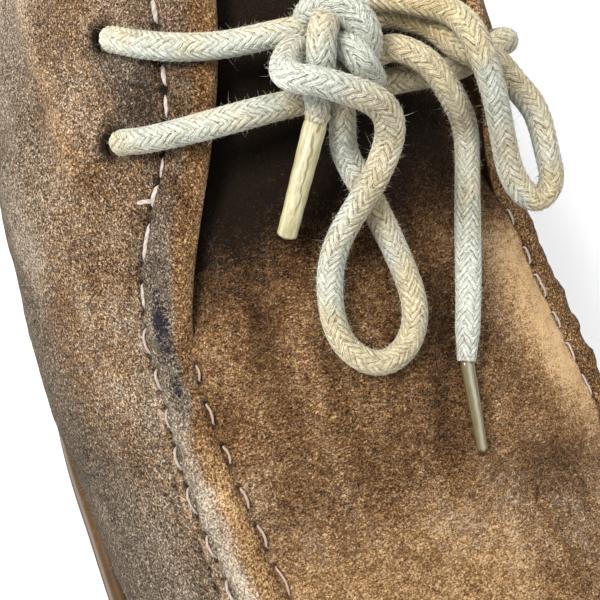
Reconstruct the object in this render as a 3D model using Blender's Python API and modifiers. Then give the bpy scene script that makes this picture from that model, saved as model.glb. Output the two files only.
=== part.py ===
"""Lace-up moccasin shoe on a platform sole, one right shoe of about EU 42, standing empty.

Metres, +Z up. The toe points to -Y and the outer (lateral) side of the foot is at -X.
The origin is on the floor, in the middle of the shoe's own box.
"""
import math

import bmesh
import bpy
import numpy as np
from mathutils import Matrix, Vector

# ---------------------------------------------------------------- driving dimensions
MM = 0.001
LENGTH = 292 * MM            # sole, toe to heel
BALL_WIDTH = 105 * MM        # sole, across the ball
INSTEP_HEIGHT = 109 * MM     # floor to the top of the facing flaps
HEEL_THICKNESS = 33 * MM     # sole under the heel
BALL_THICKNESS = 24 * MM     # sole under the ball
TOE_SPRING = 9 * MM          # how far the toe of the sole curls up
ARCH_RISE = 3 * MM           # hollow under the waist of the sole
WALL = 2.0 * MM              # suede of the upper
TONGUE_WALL = 1.8 * MM
RIDGE_WIDTH = 7.4 * MM       # raised hand-sewn seam
FACING_WIDTH = 9.6 * MM      # the same seam where it runs on up the flap's edge
RIDGE_HEIGHT = 2.2 * MM
LEDGE = 3.6 * MM             # sole showing outside the foot of the upper
WAIST_LEDGE = 1.0 * MM       # the same along the outer waist, where the wall leans out over it
WAIST_ROWS = (3.3, 4.6, 10.8, 12.2)  # rows of the last between which it narrows and widens again
GAP = 0.3 * MM               # between pieces that touch
INSOLE_THICKNESS = 4.0 * MM
EYELET_DIAMETER = 6.0 * MM
LACE_DIAMETER = 4.4 * MM
LACE_BEND = 3.2 * MM         # radius of the lace where it turns into an eyelet
FLAP_TO_TONGUE = 5.6 * MM    # from the flap's face down to the tongue's

# Rows of the last, round the shoe from the toe by the outer side, in millimetres on a
# last of 292 x 105 x 109. foot = where the wall stands on the sole, top = its upper
# edge (apron seam, flap edge or collar), flare = lean of the wall's foot away from
# upright, slope = steepness of the wall where it reaches the top edge, in degrees.
LAST_SIZE = (105 * MM, 292 * MM, 109 * MM)
LAST_COLUMNS = ("foot_x", "foot_y", "top_x", "top_y", "top_z", "flare", "slope")
LAST = (
    # name                 foot_x foot_y  top_x  top_y  top_z flare slope
    ("toe tip",             8.0, -143.0,   6.0, -114.0,  55.5,   6,  28),
    ("toe outer",         -15.0, -137.0, -10.0, -108.0,  56.0,   6,  30),
    ("toe corner outer",  -34.5, -116.0, -22.0,  -93.0,  57.0,   7,  32),
    ("forefoot outer",    -44.0,  -86.0, -28.5,  -70.0,  59.0,   9,  35),
    ("ball outer",        -48.5,  -50.0, -31.5,  -44.0,  65.0,  14,  38),
    ("throat outer",      -48.8,  -20.0, -31.5,  -22.5,  73.5,  21,  42),
    ("flap outer",        -46.0,    2.0, -24.0,   -4.0,  88.5,  23,  40),
    ("holes outer",       -44.4,   20.0, -16.5,   14.0,  98.0,  22,  36),
    ("flap top outer",    -41.5,   38.0, -13.0,   36.0, 104.5,  18,  40),
    ("collar front outer", -39.5,  54.0, -21.5,   50.0, 102.0,  13,  60),
    ("collar outer",      -36.5,   80.0, -33.0,   74.0,  87.0,  10,  82),
    ("quarter outer",     -33.0,  108.0, -30.0,  103.0,  84.0,  10,  82),
    ("heel outer",        -22.5,  132.0, -17.5,  127.0,  90.0,  10,  80),
    ("heel back",           0.0,  141.5,   0.0,  134.5,  93.0,  10,  78),
    ("heel inner",         22.5,  132.0,  17.5,  127.0,  90.0,  10,  80),
    ("quarter inner",      32.5,  108.0,  30.0,  103.0,  85.0,  10,  82),
    ("collar inner",       33.5,   80.0,  33.5,   74.0,  89.5,   9,  82),
    ("collar front inner", 34.5,   54.0,  29.5,   50.0, 105.5,   9,  66),
    ("flap top inner",     35.5,   38.0,  24.5,   36.0, 109.0,   8,  56),
    ("holes inner",        36.5,   20.0,  26.5,   14.0, 103.5,   8,  53),
    ("flap inner",         38.5,    2.0,  27.5,   -2.0,  94.5,   9,  50),
    ("throat inner",       42.0,  -20.0,  28.3,  -16.0,  81.0,  10,  46),
    ("ball inner",         47.5,  -50.0,  34.0,  -44.0,  67.5,  10,  44),
    ("forefoot inner",     48.0,  -86.0,  36.0,  -72.0,  60.5,   9,  38),
    ("toe corner inner",   41.0, -116.0,  30.0,  -93.0,  57.0,   7,  32),
    ("toe inner",          26.5, -135.0,  19.0, -108.0,  56.0,   6,  30),
)
ROWS = len(LAST)
THROAT_ROW = 5               # the apron ends here, the flaps begin
FLAP_TOP_ROW = 8
TONGUE_ROWS = (5.13, 7.9)    # the tongue's stations, from just behind the apron's end
TONGUE_TUCK = (1.5 * MM, 9 * MM)  # how far its edges reach under the flaps, at the throat and above

# Height of the middle of the apron, and then of the tongue, above the floor, in millimetres
# on the same last: one for each row from the toe tip (row 0) to behind the flaps' top (row 10).
CREST = (56.0, 57.5, 60.5, 65.5, 73.5, 84.5, 92.0, 98.0, 103.5, 107.5, 110.0)

EYELETS = (
    # name              row   from the edge (mm)
    ("top outer",       7.35, 20.4),
    ("low outer",       6.64, 20.2),
    ("top inner",      18.65, 18.0),
    ("low inner",      19.38, 18.0),
)

# The lace, as routes of its middle line in millimetres, in the shoe's own frame. The bars run
# knot - top outer eyelet - under the flap - low outer eyelet - straight across - low inner
# eyelet - under the flap - top inner eyelet - knot.
BAR_KNOT_TO_TOP_OUTER = (
    (-7.5, 8, 102.5), (-10, 8.5, 102), (-15.5, 10, 100.5), (-21.5, 13.5, 98), (-26.5, 18, 94),
)
BAR_LOW_OUTER_TO_LOW_INNER = (
    (-31, 4.5, 88.5), (-25, 0.5, 94.5), (-17.5, -1, 96.5), (-8, -1.5, 97.5), (-1.5, -2, 98),
    (8.5, -3, 98.5), (18.5, -3, 99), (24, -1.5, 100), (28.5, 0.5, 100.5), (33.5, 3.5, 96.5),
)
BAR_TOP_INNER_TO_KNOT = (
    (34.5, 20.5, 98.5), (31, 18.5, 104.5), (27, 16, 107.5), (21, 14.5, 106.5), (13, 12.5, 103.5),
    (5.5, 10.5, 101.5),
)
KNOT_MIDDLE = (-1, 3.5, 103)
KNOT_SIZE = (12, 11, 9)
LOOSE_LACES = (
    # name, route from the knot outwards
    ("lace_loop_outer", (
        (-8, 3.5, 103.5), (-11, 2.5, 104), (-13.5, -1, 105.5), (-12, -4, 108.5), (-5.5, -7, 108.5),
        (-0.5, -10, 106.5), (1.5, -13, 103), (0, -16, 99.5), (-1.5, -18, 97), (-8.5, -20.5, 89),
        (-11, -26.5, 83.5), (-11.5, -35, 79.5), (-6, -40, 78), (1.5, -39.5, 78.5), (4.5, -33.5, 81),
        (3, -24.5, 86.5), (-1.5, -15.5, 92), (-2.5, -9.5, 95.5), (-4, -7, 99.5), (-4, -4.5, 102),
    )),
    ("lace_end_outer", (
        (-4.5, 2, 109.5), (-8, -0.5, 106.5), (-8.5, -3, 104.5), (-9, -5, 102), (-10, -7.5, 99),
    )),
    ("lace_loop_inner", (
        (3.5, 8.5, 107), (7.5, 7, 108.5), (11.5, 5, 109.5), (15.5, 2, 109.5), (16.5, -2.5, 109.5),
        (17, -6.5, 108.5), (19, -10.5, 104), (21.5, -16, 96.5), (23, -21, 91.5), (27, -25, 89),
        (31, -23.5, 90.5), (31, -19, 94), (30, -12.5, 98.5), (26, -8, 101.5), (22.5, -5.5, 103),
        (18.5, -4, 104), (15.5, -1.5, 104), (14, 2.5, 104.5), (10.5, 5.5, 104), (6.5, 5.5, 103.5),
    )),
    ("lace_end_inner", (
        (5.5, 0.5, 104), (7, -0.5, 105), (10, -3.5, 105), (12.5, -6.5, 103), (16, -9, 98),
        (18, -11.5, 93.5), (17, -18.5, 88), (17, -27, 82.5), (14, -34, 80), (11, -43, 76.5),
    )),
)
AGLETS = (
    # name           lace it ends          tip (mm)            diameter  at the tip (mm)
    ("aglet_outer", "lace_end_outer", (-14.5, -18, 86.5), 3.2, 2.8),
    ("aglet_inner", "lace_end_inner", (8.5, -57, 71), 2.4, 1.8),
)

# Rings of the sole, from the footbed over the edge to the tread, and of the insole
SOLE_RINGS = (
    # name        inset from the outline (mm), height from tread (0) to footbed (1), drop (mm)
    ("footbed",    4.0, 1.0, 0.0),
    ("edge top",   0.8, 1.0, 0.0),
    ("edge",       0.0, 1.0, 1.0),
    ("side",       0.4, 0.5, 0.0),
    ("side low",   1.2, 0.0, -2.0),
    ("tread edge", 2.6, 0.0, 0.0),
)
INSOLE_RINGS = (
    # name   inset (mm), height from its underside (0) to its top (1)
    ("under", 0.6, 0.0),
    ("edge",  0.0, 0.25),
    ("top",   0.4, 1.0),
)
INSOLE_CLEARANCE = 0.8 * MM  # between the insole's edge and the wall
# Rings of the upper across the hand-sewn seam, as shares of its width from the top edge
RIDGE_RINGS = (0, 0.09, 0.3, 0.55, 0.8, 1.0, 1.15)
# Rounded end of the tongue: how far past its last station (mm), and how wide there
TONGUE_END = ((6, 0.99), (12, 0.95), (16, 0.86), (18.5, 0.68))

# Mesh counts
ROUND = 4 * ROWS             # faces round the upper
WALL_RINGS = 6               # rings of the wall below the ridge
APRON_FACES = 12             # faces across the apron
SOLE_FACES = 6
INSOLE_FACES = 2
TONGUE_FACES = 10
TONGUE_STATIONS = 14
LACE_STEP = 5.2 * MM         # between the rings of a loose lace
BAR_STEP = 2.6 * MM          # the same where it turns through the eyelets


# ---------------------------------------------------------------- curves of the last
def closed_spline(rows, at):
    """Smooth closed curve through rows, read at the row numbers in at."""
    rows = np.asarray(rows, float)
    at = np.atleast_1d(np.asarray(at, float))
    count = len(rows)
    unit = np.eye(count)
    system = 4 * unit + np.roll(unit, 1, axis=1) + np.roll(unit, -1, axis=1)
    bend = np.linalg.solve(system, 6 * (np.roll(rows, -1, 0) - 2 * rows + np.roll(rows, 1, 0)))
    first = np.floor(at).astype(int)
    near = (at - first)[:, None]
    far = 1 - near
    here, there = first % count, (first + 1) % count
    return (far * rows[here] + near * rows[there]
            + ((far ** 3 - far) * bend[here] + (near ** 3 - near) * bend[there]) / 6)


def smooth(value, low, high):
    """0 below low, 1 above high, and an S curve between them."""
    t = np.clip((np.asarray(value, float) - low) / (high - low), 0, 1)
    return t * t * (3 - 2 * t)


def last_rows(at):
    """Columns of LAST at the row numbers in at, in metres and degrees."""
    table = closed_spline([row[1:] for row in LAST], at)
    scale_x = BALL_WIDTH / LAST_SIZE[0] * MM
    scale_y = LENGTH / LAST_SIZE[1] * MM
    scale_z = INSTEP_HEIGHT / LAST_SIZE[2] * MM
    scales = np.array([scale_x, scale_y, scale_x, scale_y, scale_z, 1, 1])
    return dict(zip(LAST_COLUMNS, (table * scales).T))


def sole_top(y):
    """Height of the footbed face of the sole along the shoe."""
    wedge = (HEEL_THICKNESS - BALL_THICKNESS) * smooth(y, -0.10 * LENGTH, 0.27 * LENGTH)
    curl = TOE_SPRING * np.clip((-y - 0.27 * LENGTH) / (0.23 * LENGTH), 0, 1.2) ** 2
    return BALL_THICKNESS + wedge + curl


def sole_bottom(y):
    """Height of the tread: level at heel and forefoot, hollow at the arch, curled at the toe."""
    arch = ARCH_RISE * smooth(y, -0.03 * LENGTH, 0.11 * LENGTH)
    arch *= 1 - smooth(y, 0.11 * LENGTH, 0.23 * LENGTH)
    curl = (TOE_SPRING + 1 * MM) * np.clip((-y - 0.26 * LENGTH) / (0.24 * LENGTH), 0, 1.2) ** 2
    bevel = 3.5 * MM * np.clip((y - 0.43 * LENGTH) / (0.07 * LENGTH), 0, 1.2) ** 2
    return arch + curl + bevel


def foot_line(at, inset=0.0):
    """The line on the sole where the upper stands, moved inwards by inset, and its outward normals."""
    here = last_rows(at)
    step = 0.01
    ahead, behind = last_rows(np.atleast_1d(at) + step), last_rows(np.atleast_1d(at) - step)
    along = np.stack([ahead["foot_x"] - behind["foot_x"], ahead["foot_y"] - behind["foot_y"]], -1)
    along /= np.linalg.norm(along, axis=1)[:, None]
    outward = np.stack([-along[:, 1], along[:, 0]], -1)
    line = np.stack([here["foot_x"], here["foot_y"]], -1) - np.reshape(inset, (-1, 1)) * outward
    return line, outward


def ledge(at):
    """Width of sole that shows outside the foot of the upper at the rows in at."""
    narrow, waist, wide, heel = WAIST_ROWS
    waisted = smooth(at, narrow, waist) - smooth(at, wide, heel)
    return LEDGE + (WAIST_LEDGE - LEDGE) * waisted


def section(row, samples=81):
    """Profile of the upper's outer face at one row: points from the top edge down, their distance
    from that edge, and their outward normals."""
    at = np.array([row], float)
    here = {name: value[0] for name, value in last_rows(at).items()}
    (foot_x, foot_y), outward = [value[0] for value in foot_line(at)]
    out = np.array([outward[0], outward[1], 0.0])
    up = np.array([0.0, 0.0, 1.0])
    foot = np.array([foot_x, foot_y, float(sole_top(foot_y)) + GAP])
    top = np.array([here["top_x"], here["top_y"], here["top_z"]])
    reach = np.linalg.norm(top - foot)
    flare, slope = math.radians(here["flare"]), math.radians(here["slope"])
    lower = foot + 0.42 * reach * (out * math.sin(flare) + up * math.cos(flare))
    upper = top + 0.40 * reach * (out * math.cos(slope) - up * math.sin(slope))
    t = np.linspace(0, 1, samples)[:, None]
    curve = ((1 - t) ** 3 * top + 3 * (1 - t) ** 2 * t * upper
             + 3 * (1 - t) * t ** 2 * lower + t ** 3 * foot)
    run = np.concatenate([[0], np.cumsum(np.linalg.norm(np.diff(curve, axis=0), axis=1))])
    tangent = np.gradient(curve, axis=0)
    across = tangent @ out
    rise = tangent[:, 2]
    normal = np.outer(-rise, out) + np.outer(across, up)
    normal /= np.linalg.norm(normal, axis=1)[:, None]
    return curve, run, normal


def ridge_width(row):
    """Width of the hand-sewn seam, from the apron or the flap's edge to its outer stitches."""
    mirrored = min(row % ROWS, ROWS - row % ROWS)
    return RIDGE_WIDTH + (FACING_WIDTH - RIDGE_WIDTH) * smooth(mirrored, THROAT_ROW - 0.5, THROAT_ROW + 1.5)


def ridge_lift(row, distance):
    """How far the hand-sewn ridge stands above the wall, at a distance below the top edge."""
    mirrored = min(row % ROWS, ROWS - row % ROWS)
    height = RIDGE_HEIGHT * (1 - 0.7 * smooth(mirrored, THROAT_ROW, THROAT_ROW + 1.2))
    height *= 1 - smooth(mirrored, FLAP_TOP_ROW - 0.3, FLAP_TOP_ROW + 0.6)
    hump = np.sin(np.pi * np.clip(distance / ridge_width(row), 0, 1)) ** 0.8
    return height * hump


def wall_point(row, distance, sunk=0.0):
    """Point of the upper's outer face, at a distance below the top edge, sunk under the face."""
    curve, run, normal = section(row)
    place = np.array([np.interp(distance, run, curve[:, axis]) for axis in range(3)])
    facing = np.array([np.interp(distance, run, normal[:, axis]) for axis in range(3)])
    facing /= np.linalg.norm(facing)
    return place + facing * (ridge_lift(row, distance) - sunk), facing


def crest(row):
    """Height of the middle of the apron or tongue at a row."""
    there_and_back = np.array([*CREST, *CREST[-2:0:-1]])[:, None]
    return closed_spline(there_and_back, row)[0, 0] * INSTEP_HEIGHT / LAST_SIZE[2] * MM


def bridge(left, right, height, faces):
    """Crowned line from one side edge to the other, whose middle is at the given height."""
    lift = (height - (left[2] + right[2]) / 2) * 4 / 3
    up = np.array([0.0, 0.0, 1.0])
    near = left + 0.3 * (right - left) + lift * up
    far = right + 0.3 * (left - right) + lift * up
    t = (0.5 - 0.5 * np.cos(np.linspace(0, np.pi, faces + 1)))[:, None]
    t = 0.5 * t + 0.5 * np.linspace(0, 1, faces + 1)[:, None]
    return (1 - t) ** 3 * left + 3 * (1 - t) ** 2 * t * near + 3 * (1 - t) * t ** 2 * far + t ** 3 * right


# ---------------------------------------------------------------- Blender helpers
def clear_scene():
    for thing in list(bpy.data.objects):
        bpy.data.objects.remove(thing, do_unlink=True)


def collection(name):
    made = bpy.data.collections.new(name)
    bpy.context.scene.collection.children.link(made)
    return made


def finish_of(name, colour, roughness, metallic=0.0):
    """A Principled material."""
    material = bpy.data.materials.new(name)
    material.use_nodes = True
    shader = material.node_tree.nodes["Principled BSDF"]
    shader.inputs["Base Color"].default_value = (*colour, 1)
    shader.inputs["Roughness"].default_value = roughness
    shader.inputs["Metallic"].default_value = metallic
    return material


def mesh_object(name, points, faces, material, into):
    mesh = bpy.data.meshes.new(name)
    mesh.from_pydata([tuple(point) for point in points], [], faces)
    mesh.validate()
    shape = bmesh.new()
    shape.from_mesh(mesh)
    bmesh.ops.remove_doubles(shape, verts=shape.verts, dist=0.00001)
    shape.to_mesh(mesh)
    shape.free()
    mesh.shade_smooth()
    made = bpy.data.objects.new(name, mesh)
    made.data.materials.append(material)
    into.objects.link(made)
    return made


def grid_faces(rows, columns, start=0, closed=False):
    """Quads of a grid of points stored row after row."""
    faces = []
    for row in range(rows - 1):
        for column in range(columns if closed else columns - 1):
            beside = (column + 1) % columns
            faces.append((start + row * columns + column, start + row * columns + beside,
                          start + (row + 1) * columns + beside, start + (row + 1) * columns + column))
    return faces


def strip_faces(strips, facing_up=True):
    """Faces between neighbouring rows of point numbers; where a row meets itself, triangles."""
    faces = []
    for before, after in zip(strips, strips[1:]):
        for k in range(len(before) - 1):
            face = []
            for corner in (before[k], before[k + 1], after[k + 1], after[k]):
                if corner not in face:
                    face.append(corner)
            faces.append(tuple(face if facing_up else face[::-1]))
    return faces


def fill_outline(points, first, count, level, across, facing_up):
    """Fills a closed ring of points, numbered from first, with faces of the height level(y)."""
    half = count // 2
    strips = [[first] * (across + 1)]
    for station in range(1, half):
        left = np.array(points[first + station][:2])
        right = np.array(points[first + count - station][:2])
        share = np.linspace(0, 1, across + 1)[1:-1, None]
        middle = left * (1 - share) + right * share
        inner = list(range(len(points), len(points) + across - 1))
        points.extend(np.column_stack([middle, level(middle[:, 1])]))
        strips.append([first + station, *inner, first + count - station])
    strips.append([first + half] * (across + 1))
    return strip_faces(strips, facing_up)


def keep_in(thing, into):
    """Moves an object made by an operator to its own collection."""
    for holder in thing.users_collection:
        holder.objects.unlink(thing)
    into.objects.link(thing)


def solidify(thing, thickness):
    """Gives an open face its real thickness, on the inside."""
    modifier = thing.modifiers.new("thickness", "SOLIDIFY")
    modifier.thickness = thickness
    modifier.offset = -1
    modifier.use_even_offset = False
    modifier.use_quality_normals = True


# ---------------------------------------------------------------- the pieces
def make_sole(into):
    """The platform: rings of the outline from the footbed, over the edge and down to the tread."""
    at = np.arange(ROUND) * ROWS / ROUND
    points = []
    for _, inset, height, drop in SOLE_RINGS:
        line, _ = foot_line(at, inset * MM - ledge(at))
        top, bottom = sole_top(line[:, 1]), sole_bottom(line[:, 1])
        points.extend(np.column_stack([line, bottom + height * (top - bottom) - drop * MM]))
    tread = (len(SOLE_RINGS) - 1) * ROUND
    faces = grid_faces(len(SOLE_RINGS), ROUND, closed=True)
    faces += fill_outline(points, 0, ROUND, sole_top, SOLE_FACES, facing_up=True)
    faces += fill_outline(points, tread, ROUND, sole_bottom, SOLE_FACES, facing_up=False)
    material = finish_of("gum rubber", (0.23, 0.115, 0.045), 0.55)
    return mesh_object("outsole", points, faces, material, into)


def make_insole(into):
    """A thin foot-shaped board lying on the sole inside the upper."""
    count = ROUND // 2
    at = np.arange(count) * ROWS / count
    points = []
    for _, inset, height in INSOLE_RINGS:
        line, _ = foot_line(at, WALL + INSOLE_CLEARANCE + inset * MM)
        points.extend(np.column_stack([line, sole_top(line[:, 1]) + GAP + height * INSOLE_THICKNESS]))
    top = (len(INSOLE_RINGS) - 1) * count
    faces = [face[::-1] for face in grid_faces(len(INSOLE_RINGS), count, closed=True)]
    faces += fill_outline(points, top, count, lambda y: sole_top(y) + GAP + INSOLE_THICKNESS,
                          INSOLE_FACES, facing_up=True)
    faces += fill_outline(points, 0, count, lambda y: sole_top(y) + GAP, INSOLE_FACES, facing_up=False)
    material = finish_of("insole leather", (0.30, 0.19, 0.10), 0.7)
    return mesh_object("insole", points, faces, material, into)


def make_upper(into, cutters):
    """Wall, flaps, ridge and apron as one face, thickened inwards, with its eyelets punched."""
    at = np.arange(ROUND) * ROWS / ROUND
    points = []
    for share in RIDGE_RINGS:
        points.extend(wall_point(row, share * ridge_width(row))[0] for row in at)
    for share in np.arange(1, WALL_RINGS + 1) / WALL_RINGS:
        for row in at:
            seam, foot = RIDGE_RINGS[-1] * ridge_width(row), section(row)[1][-1]
            points.append(wall_point(row, seam + share * (foot - seam))[0])
    faces = grid_faces(len(RIDGE_RINGS) + WALL_RINGS, ROUND, closed=True)
    throat = THROAT_ROW * ROUND // ROWS
    strips = [[0] * (APRON_FACES + 1)]
    for station in range(1, throat + 1):
        line = bridge(points[station], points[ROUND - station], crest(at[station]), APRON_FACES)
        inner = list(range(len(points), len(points) + APRON_FACES - 1))
        points.extend(line[1:-1])
        strips.append([station, *inner, ROUND - station])
    faces += strip_faces(strips)
    material = finish_of("brown suede", (0.29, 0.15, 0.065), 0.95)
    upper = mesh_object("upper", points, faces, material, into)
    solidify(upper, WALL)
    for name, _, _ in EYELETS:
        place, facing = wall_point(*eyelet_place(name), WALL / 2)
        bpy.ops.mesh.primitive_cylinder_add(vertices=16, radius=EYELET_DIAMETER / 2, depth=5 * WALL)
        punch = bpy.context.object
        punch.name = "punch " + name
        punch.location = place
        punch.rotation_euler = Vector(facing).to_track_quat("Z", "Y").to_euler()
        punch.hide_render = True
        punch.display_type = "WIRE"
        keep_in(punch, cutters)
        cut = upper.modifiers.new("eyelet " + name, "BOOLEAN")
        cut.operation = "DIFFERENCE"
        cut.solver = "EXACT"
        cut.object = punch
    return upper


def tongue_edge(row):
    """Side edge of the tongue: it slips under the flap at the throat, then deeper and further in."""
    mirrored = min(row, ROWS - row)
    deeper = smooth(mirrored, THROAT_ROW, THROAT_ROW + 1.2)
    closest = WALL + RIDGE_HEIGHT + 7 * GAP
    sunk = closest + deeper * (FLAP_TO_TONGUE - closest)
    reach = TONGUE_TUCK[0] + deeper * (TONGUE_TUCK[1] - TONGUE_TUCK[0])
    return wall_point(row, reach, sunk)[0]


def make_tongue(into):
    """The apron's leather running on up the instep, under both flaps, to a round end."""
    rows = np.linspace(*TONGUE_ROWS, TONGUE_STATIONS)
    lines = [bridge(tongue_edge(row), tongue_edge(ROWS - row), crest(row), TONGUE_FACES) for row in rows]
    last, before = lines[-1], lines[-2]
    middle = last.mean(axis=0)
    onward = (last - before).mean(axis=0)
    onward /= np.linalg.norm(onward)
    for reach, narrow in TONGUE_END:
        lines.append(middle + onward * reach * MM + (last - middle) * narrow)
    points = [point for line in lines for point in line]
    faces = grid_faces(len(lines), TONGUE_FACES + 1)
    faces = [face[::-1] for face in faces]
    material = finish_of("tongue suede", (0.22, 0.115, 0.05), 0.95)
    tongue = mesh_object("tongue", points, faces, material, into)
    solidify(tongue, TONGUE_WALL)
    return tongue


def smooth_route(points, step):
    """Evenly spaced points, about step apart, on the smooth curve through a route's points."""
    points = np.asarray(points, float)
    knots = np.concatenate([[0], np.cumsum(np.sqrt(np.linalg.norm(np.diff(points, axis=0), axis=1)))])
    gaps = np.diff(knots)
    system = np.eye(len(points))
    pull = np.zeros_like(points)
    for i in range(1, len(points) - 1):
        system[i, i - 1:i + 2] = gaps[i - 1], 2 * (gaps[i - 1] + gaps[i]), gaps[i]
        after = (points[i + 1] - points[i]) / gaps[i]
        before = (points[i] - points[i - 1]) / gaps[i - 1]
        pull[i] = 6 * (after - before)
    bend = np.linalg.solve(system, pull)
    at = np.linspace(0, knots[-1], 40 * len(points))
    k = np.clip(np.searchsorted(knots, at, side="right") - 1, 0, len(points) - 2)
    near, width = (at - knots[k])[:, None], gaps[k][:, None]
    far = width - near
    curve = ((far ** 3 * bend[k] + near ** 3 * bend[k + 1]) / (6 * width)
             + (points[k] / width - bend[k] * width / 6) * far
             + (points[k + 1] / width - bend[k + 1] * width / 6) * near)
    run = np.concatenate([[0], np.cumsum(np.linalg.norm(np.diff(curve, axis=0), axis=1))])
    even = np.linspace(0, run[-1], int(round(run[-1] / step)) + 1)
    return np.stack([np.interp(even, run, curve[:, axis]) for axis in range(3)], -1)


def lace_tube(name, route, material, into):
    """A lace as a round tube along its route."""
    curve = bpy.data.curves.new(name, "CURVE")
    curve.dimensions = "3D"
    curve.bevel_depth = LACE_DIAMETER / 2
    curve.bevel_resolution = 2
    curve.use_fill_caps = True
    line = curve.splines.new("POLY")
    line.points.add(len(route) - 1)
    for point, place in zip(line.points, route):
        point.co = (*place, 1)
    curve.materials.append(material)
    made = bpy.data.objects.new(name, curve)
    into.objects.link(made)
    return made


def eyelet_place(name):
    """Row of an eyelet and its distance below the flap's edge."""
    row, distance = next(eyelet[1:] for eyelet in EYELETS if eyelet[0] == name)
    return row, distance * MM


def through_eyelet(name, inside, outside):
    """Route of the lace from under the wall out through one eyelet, turning towards the inside
    and the outside point."""
    place, facing = wall_point(*eyelet_place(name))
    level = []
    for target in (inside, outside):
        away = np.asarray(target) - place
        away -= facing * (away @ facing)
        level.append(away / np.linalg.norm(away))
    route = []
    for turn in (90, 45, 0):
        across, down = 1 - math.cos(math.radians(turn)), math.sin(math.radians(turn))
        route.append(place - facing * (WALL + LACE_BEND * down) + level[0] * LACE_BEND * across)
    for turn in (0, 45, 90):
        across, rise = 1 - math.cos(math.radians(turn)), math.sin(math.radians(turn))
        route.append(place + facing * LACE_BEND * rise + level[1] * LACE_BEND * across)
    return route


def make_lace_bars(material, into):
    """The part of the lace that crosses the instep and dives through the eyelets, one joined piece."""
    under = {}
    for side in ("outer", "inner"):
        low, top = eyelet_place("low " + side), eyelet_place("top " + side)
        middle_row, middle_distance = (low[0] + top[0]) / 2, (low[1] + top[1]) / 2
        under[side] = wall_point(middle_row, middle_distance, WALL + LACE_BEND)[0]
    first, across, last = (np.array(route) * MM for route in (
        BAR_KNOT_TO_TOP_OUTER, BAR_LOW_OUTER_TO_LOW_INNER, BAR_TOP_INNER_TO_KNOT))
    route = [
        *first,
        *through_eyelet("top outer", under["outer"], first[-1])[::-1],
        under["outer"],
        *through_eyelet("low outer", under["outer"], across[0]),
        *across,
        *through_eyelet("low inner", under["inner"], across[-1])[::-1],
        under["inner"],
        *through_eyelet("top inner", under["inner"], last[0]),
        *last,
    ]
    return lace_tube("lace_bars", smooth_route(route, BAR_STEP), material, into)


def make_loose_lace(material, into):
    """The knot, its two loops and two ends, and the clear aglet crimped on each end."""
    bpy.ops.mesh.primitive_uv_sphere_add(segments=24, ring_count=14, radius=0.5)
    knot = bpy.context.object
    knot.name = "lace_knot"
    knot.data.transform(Matrix.Diagonal((*(size * MM for size in KNOT_SIZE), 1)))
    knot.data.shade_smooth()
    knot.data.materials.append(material)
    knot.location = Vector(KNOT_MIDDLE) * MM
    keep_in(knot, into)
    ends = {}
    for name, route in LOOSE_LACES:
        ends[name] = smooth_route(np.array(route) * MM, LACE_STEP)
        lace_tube(name, ends[name], material, into)
    plastic = finish_of("clear aglet plastic", (0.55, 0.45, 0.22), 0.2)
    for name, lace, tip, wide, narrow in AGLETS:
        tip = Vector(tip) * MM
        top = Vector(ends[lace][-1])
        along = (tip - top).normalized()
        top += along * 2 * GAP
        shape = bmesh.new()
        bmesh.ops.create_cone(shape, cap_ends=True, segments=16, radius1=wide / 2 * MM,
                              radius2=narrow / 2 * MM, depth=(tip - top).length)
        mesh = bpy.data.meshes.new(name)
        shape.to_mesh(mesh)
        shape.free()
        mesh.materials.append(plastic)
        mesh.shade_smooth()
        mesh.set_sharp_from_angle(angle=math.radians(40))
        aglet = bpy.data.objects.new(name, mesh)
        aglet.location = (top + tip) / 2
        aglet.rotation_euler = along.to_track_quat("Z", "Y").to_euler()
        into.objects.link(aglet)


def main():
    clear_scene()
    shoe = collection("moccasin_shoe")
    cutters = collection("cutters")
    make_sole(shoe)
    make_insole(shoe)
    make_upper(shoe, cutters)
    make_tongue(shoe)
    cotton = finish_of("natural cotton lace", (0.62, 0.57, 0.42), 0.95)
    make_lace_bars(cotton, shoe)
    make_loose_lace(cotton, shoe)


main()
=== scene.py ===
"""Lace-up moccasin in brown suede on a gum rubber platform: one right shoe, empty, its lace tied.

Metres, +Z up. The toe points to -Y and the outer side of the foot is at -X. The last is the
same as the construction's: rows run round the shoe from the toe by the outer side.
"""
import math

import bmesh
import bpy
import numpy as np
from mathutils import Matrix, Vector


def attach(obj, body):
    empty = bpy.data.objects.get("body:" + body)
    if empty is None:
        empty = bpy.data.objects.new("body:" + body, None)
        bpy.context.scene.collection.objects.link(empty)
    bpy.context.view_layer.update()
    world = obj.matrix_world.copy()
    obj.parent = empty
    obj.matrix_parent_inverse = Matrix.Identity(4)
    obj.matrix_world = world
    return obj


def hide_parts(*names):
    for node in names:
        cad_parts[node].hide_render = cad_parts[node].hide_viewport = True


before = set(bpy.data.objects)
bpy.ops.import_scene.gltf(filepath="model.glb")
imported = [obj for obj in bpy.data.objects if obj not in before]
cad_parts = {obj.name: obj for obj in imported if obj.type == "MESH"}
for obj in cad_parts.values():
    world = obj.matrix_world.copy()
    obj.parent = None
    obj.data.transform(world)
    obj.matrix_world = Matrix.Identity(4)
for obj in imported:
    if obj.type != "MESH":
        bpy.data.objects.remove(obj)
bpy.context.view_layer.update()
MM = 0.001

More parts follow.
